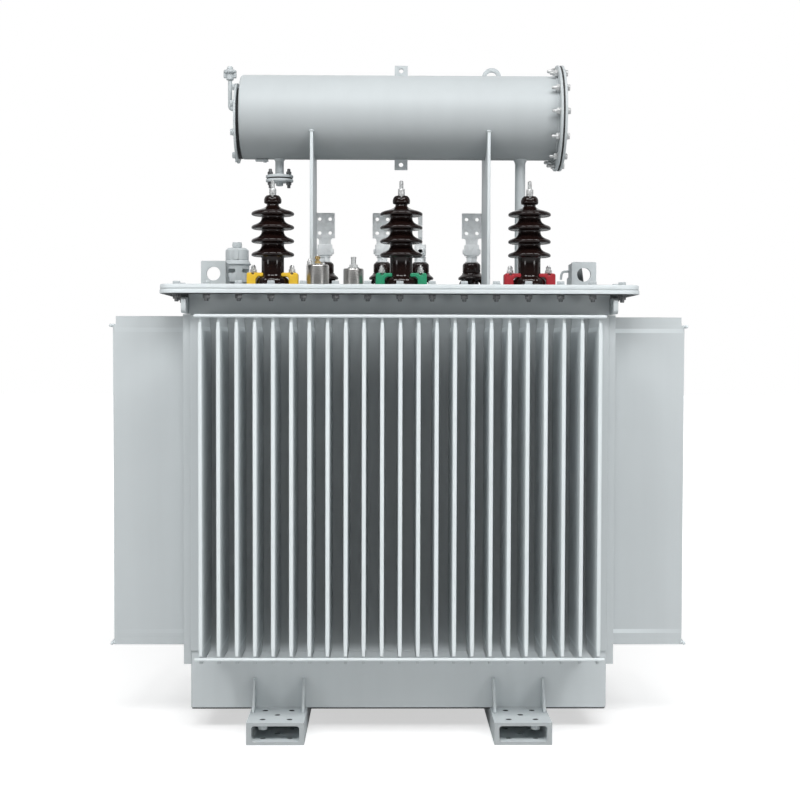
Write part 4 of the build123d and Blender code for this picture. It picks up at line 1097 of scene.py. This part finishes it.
# transport bolt that hangs in the front outer hole of each skid, and a dark rubber ring inside each hole
# above, which is painted shade standing in for the shadow inside the hole
def skidFittings():
    h = skidHole
    shadeLiner = plate(circle(0, 0, h["radius"]), h["shadeLiner"], h["linerEdge"], [circle(0, 0, h["bore"])])
    aside, ahead = h["pitch"][0] / 2, h["pitch"][1] / 2
    bolts, holes = [], []
    for node, side in (("left_skid", -1), ("right_skid", 1)):
        low, high = boxOf(node)
        middle, plateBase = (low[0] + high[0]) / 2, high[2] - h["wall"]
        bolts.append((middle + side * h["boltPlace"][0], low[1] + h["boltPlace"][1], plateBase))
        for y in (low[1] + h["inset"], high[1] - h["inset"]):
            for across, along in ((0, 0), (-1, -1), (1, -1), (-1, 1), (1, 1)):
                holes.append((middle + across * aside, y + along * ahead, plateBase + h["linerLift"]))
    addPiece("skidBolts", repeated(laid(fastener(h["bolt"]), up=-zAxis), bolts), "grey_paint")
    addPiece("skidShadeLiners", repeated(shadeLiner, holes), "gasket_rubber")


tankShadowStrip = {"inset": 2, "corner": 3, "thick": 3.5, "edge": 0.5, "drop": 3}


# dark rubber strip under the lower edge of the tank, which is painted shade along that edge
def bottomShadowStrip():
    s = tankShadowStrip
    outline = boxOutline(tankLow[:2] + s["inset"], tankHigh[:2] - s["inset"], s["corner"], 4)
    seam = plate(outline, s["thick"], s["edge"])
    addPiece("bottomShadowStrip", laid(seam, (tankLow[2] - s["drop"]) * zAxis), "gasket_rubber")


weldSeams()
lugHook()
skidFittings()
bottomShadowStrip()
print("welds and ironwork ready")


# lamps: name, place, aim, size and power; the two softboxes at the sides keep the valleys of the fins dark
studio = {
    "floorSize": 60.0, "floorTone": 0.68, "nearLift": 0.58, "farLift": 1.0, "fade": (1.6, 4.5),
    "ambient": (0.09, 0.48), "ambientTint": (0.97, 0.99, 1.0), "sweep": (-0.15, 0.6),
    "lamps": (("keySoftbox", (0, -6.8, 8.3), (0, 0, 1.0), (4.8, 3.2), 430),
              ("leftSoftbox", (-4.9, -5.9, 7.4), (0, 0, 1.0), (3.2, 3.2), 285),
              ("rightSoftbox", (4.9, -5.9, 7.4), (0, 0, 1.0), (3.2, 3.2), 320),
              ("leftLow", (-6.5, -6.0, 0.7), (0, 0, 0.3), (2.0, 2.0), 62),
              ("rightLow", (6.5, -6.0, 0.7), (0, 0, 0.3), (2.0, 2.0), 76)),
}


# pale floor that the camera alone sees lifted towards white, more so away from the object
def studioFloor():
    half, tone = studio["floorSize"] / 2, studio["floorTone"]
    mesh = bpy.data.meshes.new("studioFloor")
    corners = [(x * half, y * half, 0) for x, y in ((-1, -1), (1, -1), (1, 1), (-1, 1))]
    mesh.from_pydata(corners, [], [(0, 1, 2, 3)])
    floor = bpy.data.objects.new("studioFloor", mesh)
    bpy.context.collection.objects.link(floor)
    material, tree, shader, place = newMaterial("studioFloor")
    away = addNode(tree, "VectorMath", {0: place}, operation="LENGTH").outputs["Value"]
    lift = ranged(tree, away, studio["nearLift"], studio["farLift"], *studio["fade"])
    seen = addNode(tree, "LightPath").outputs["Is Camera Ray"]
    feed(tree, shader, {"Base Color": (tone, tone, tone, 1), "Roughness": 0.7, "Emission Color": (1, 1, 1, 1),
                        "Emission Strength": maths(tree, "MULTIPLY", seen, lift)})
    mesh.materials.append(material)


# white sweep behind the object: the camera and reflections see it, and soft light is stronger from there
def studioWorld():
    world = bpy.data.worlds.new("studio")
    bpy.context.scene.world = world
    world.use_nodes = True
    tree = world.node_tree
    heading = addNode(tree, "TexCoord").outputs["Generated"]
    depth = addNode(tree, "SeparateXYZ", {"Vector": heading}).outputs["Y"]
    behind = ranged(tree, depth, 0.0, 1.0, *studio["sweep"])
    soft, white = tree.nodes["Background"], addNode(tree, "Background", {"Color": (1, 1, 1, 1)})
    feed(tree, soft, {"Color": (*studio["ambientTint"], 1),
                      "Strength": ranged(tree, behind, *studio["ambient"], 0.0, 1.0)})
    path = addNode(tree, "LightPath").outputs
    mirrored = maths(tree, "MAXIMUM", path["Is Glossy Ray"], path["Is Transmission Ray"])
    shown = maths(tree, "MAXIMUM", path["Is Camera Ray"], maths(tree, "MULTIPLY", mirrored, behind))
    mix = addNode(tree, "MixShader", {"Fac": shown, 1: soft.outputs[0], 2: white.outputs[0]})
    tree.links.new(mix.outputs[0], tree.nodes["World Output"].inputs["Surface"])


def studioLamps():
    for name, place, aim, size, power in studio["lamps"]:
        lamp = bpy.data.lights.new(name, "AREA")
        lamp.shape = "RECTANGLE"
        lamp.size, lamp.size_y = size
        lamp.energy = power
        holder = bpy.data.objects.new(name, lamp)
        holder.location = place
        holder.rotation_euler = (Vector(aim) - Vector(place)).to_track_quat("-Z", "Y").to_euler()
        bpy.context.collection.objects.link(holder)


photoCamera = {"place": (-0.0455, -4.1017, 1.0438), "yaw": 0.0122, "pitch": 0.034, "roll": 0.00246,
               "lens": 63, "sensor": 36}


# camera axes from yaw towards +X, pitch down and roll
def placeCamera():
    c = photoCamera
    yaw, pitch, roll = c["yaw"], c["pitch"], c["roll"]
    ahead = Vector((np.sin(yaw) * np.cos(pitch), np.cos(yaw) * np.cos(pitch), -np.sin(pitch)))
    right = Vector((np.cos(yaw), -np.sin(yaw), 0))
    up = right.cross(ahead)
    level = right * np.cos(roll) + up * np.sin(roll)
    upright = up * np.cos(roll) - right * np.sin(roll)
    lens = bpy.data.cameras.new("photoCamera")
    lens.lens, lens.sensor_width = c["lens"], c["sensor"]
    camera = bpy.data.objects.new("photoCamera", lens)
    turn = Matrix((level, upright, -ahead)).transposed().to_4x4()
    camera.matrix_world = Matrix.Translation(Vector(c["place"])) @ turn
    bpy.context.collection.objects.link(camera)
    bpy.context.scene.camera = camera


studioFloor()
studioWorld()
studioLamps()
placeCamera()
bpy.context.scene.view_settings.view_transform = "Standard"
print("studio ready")
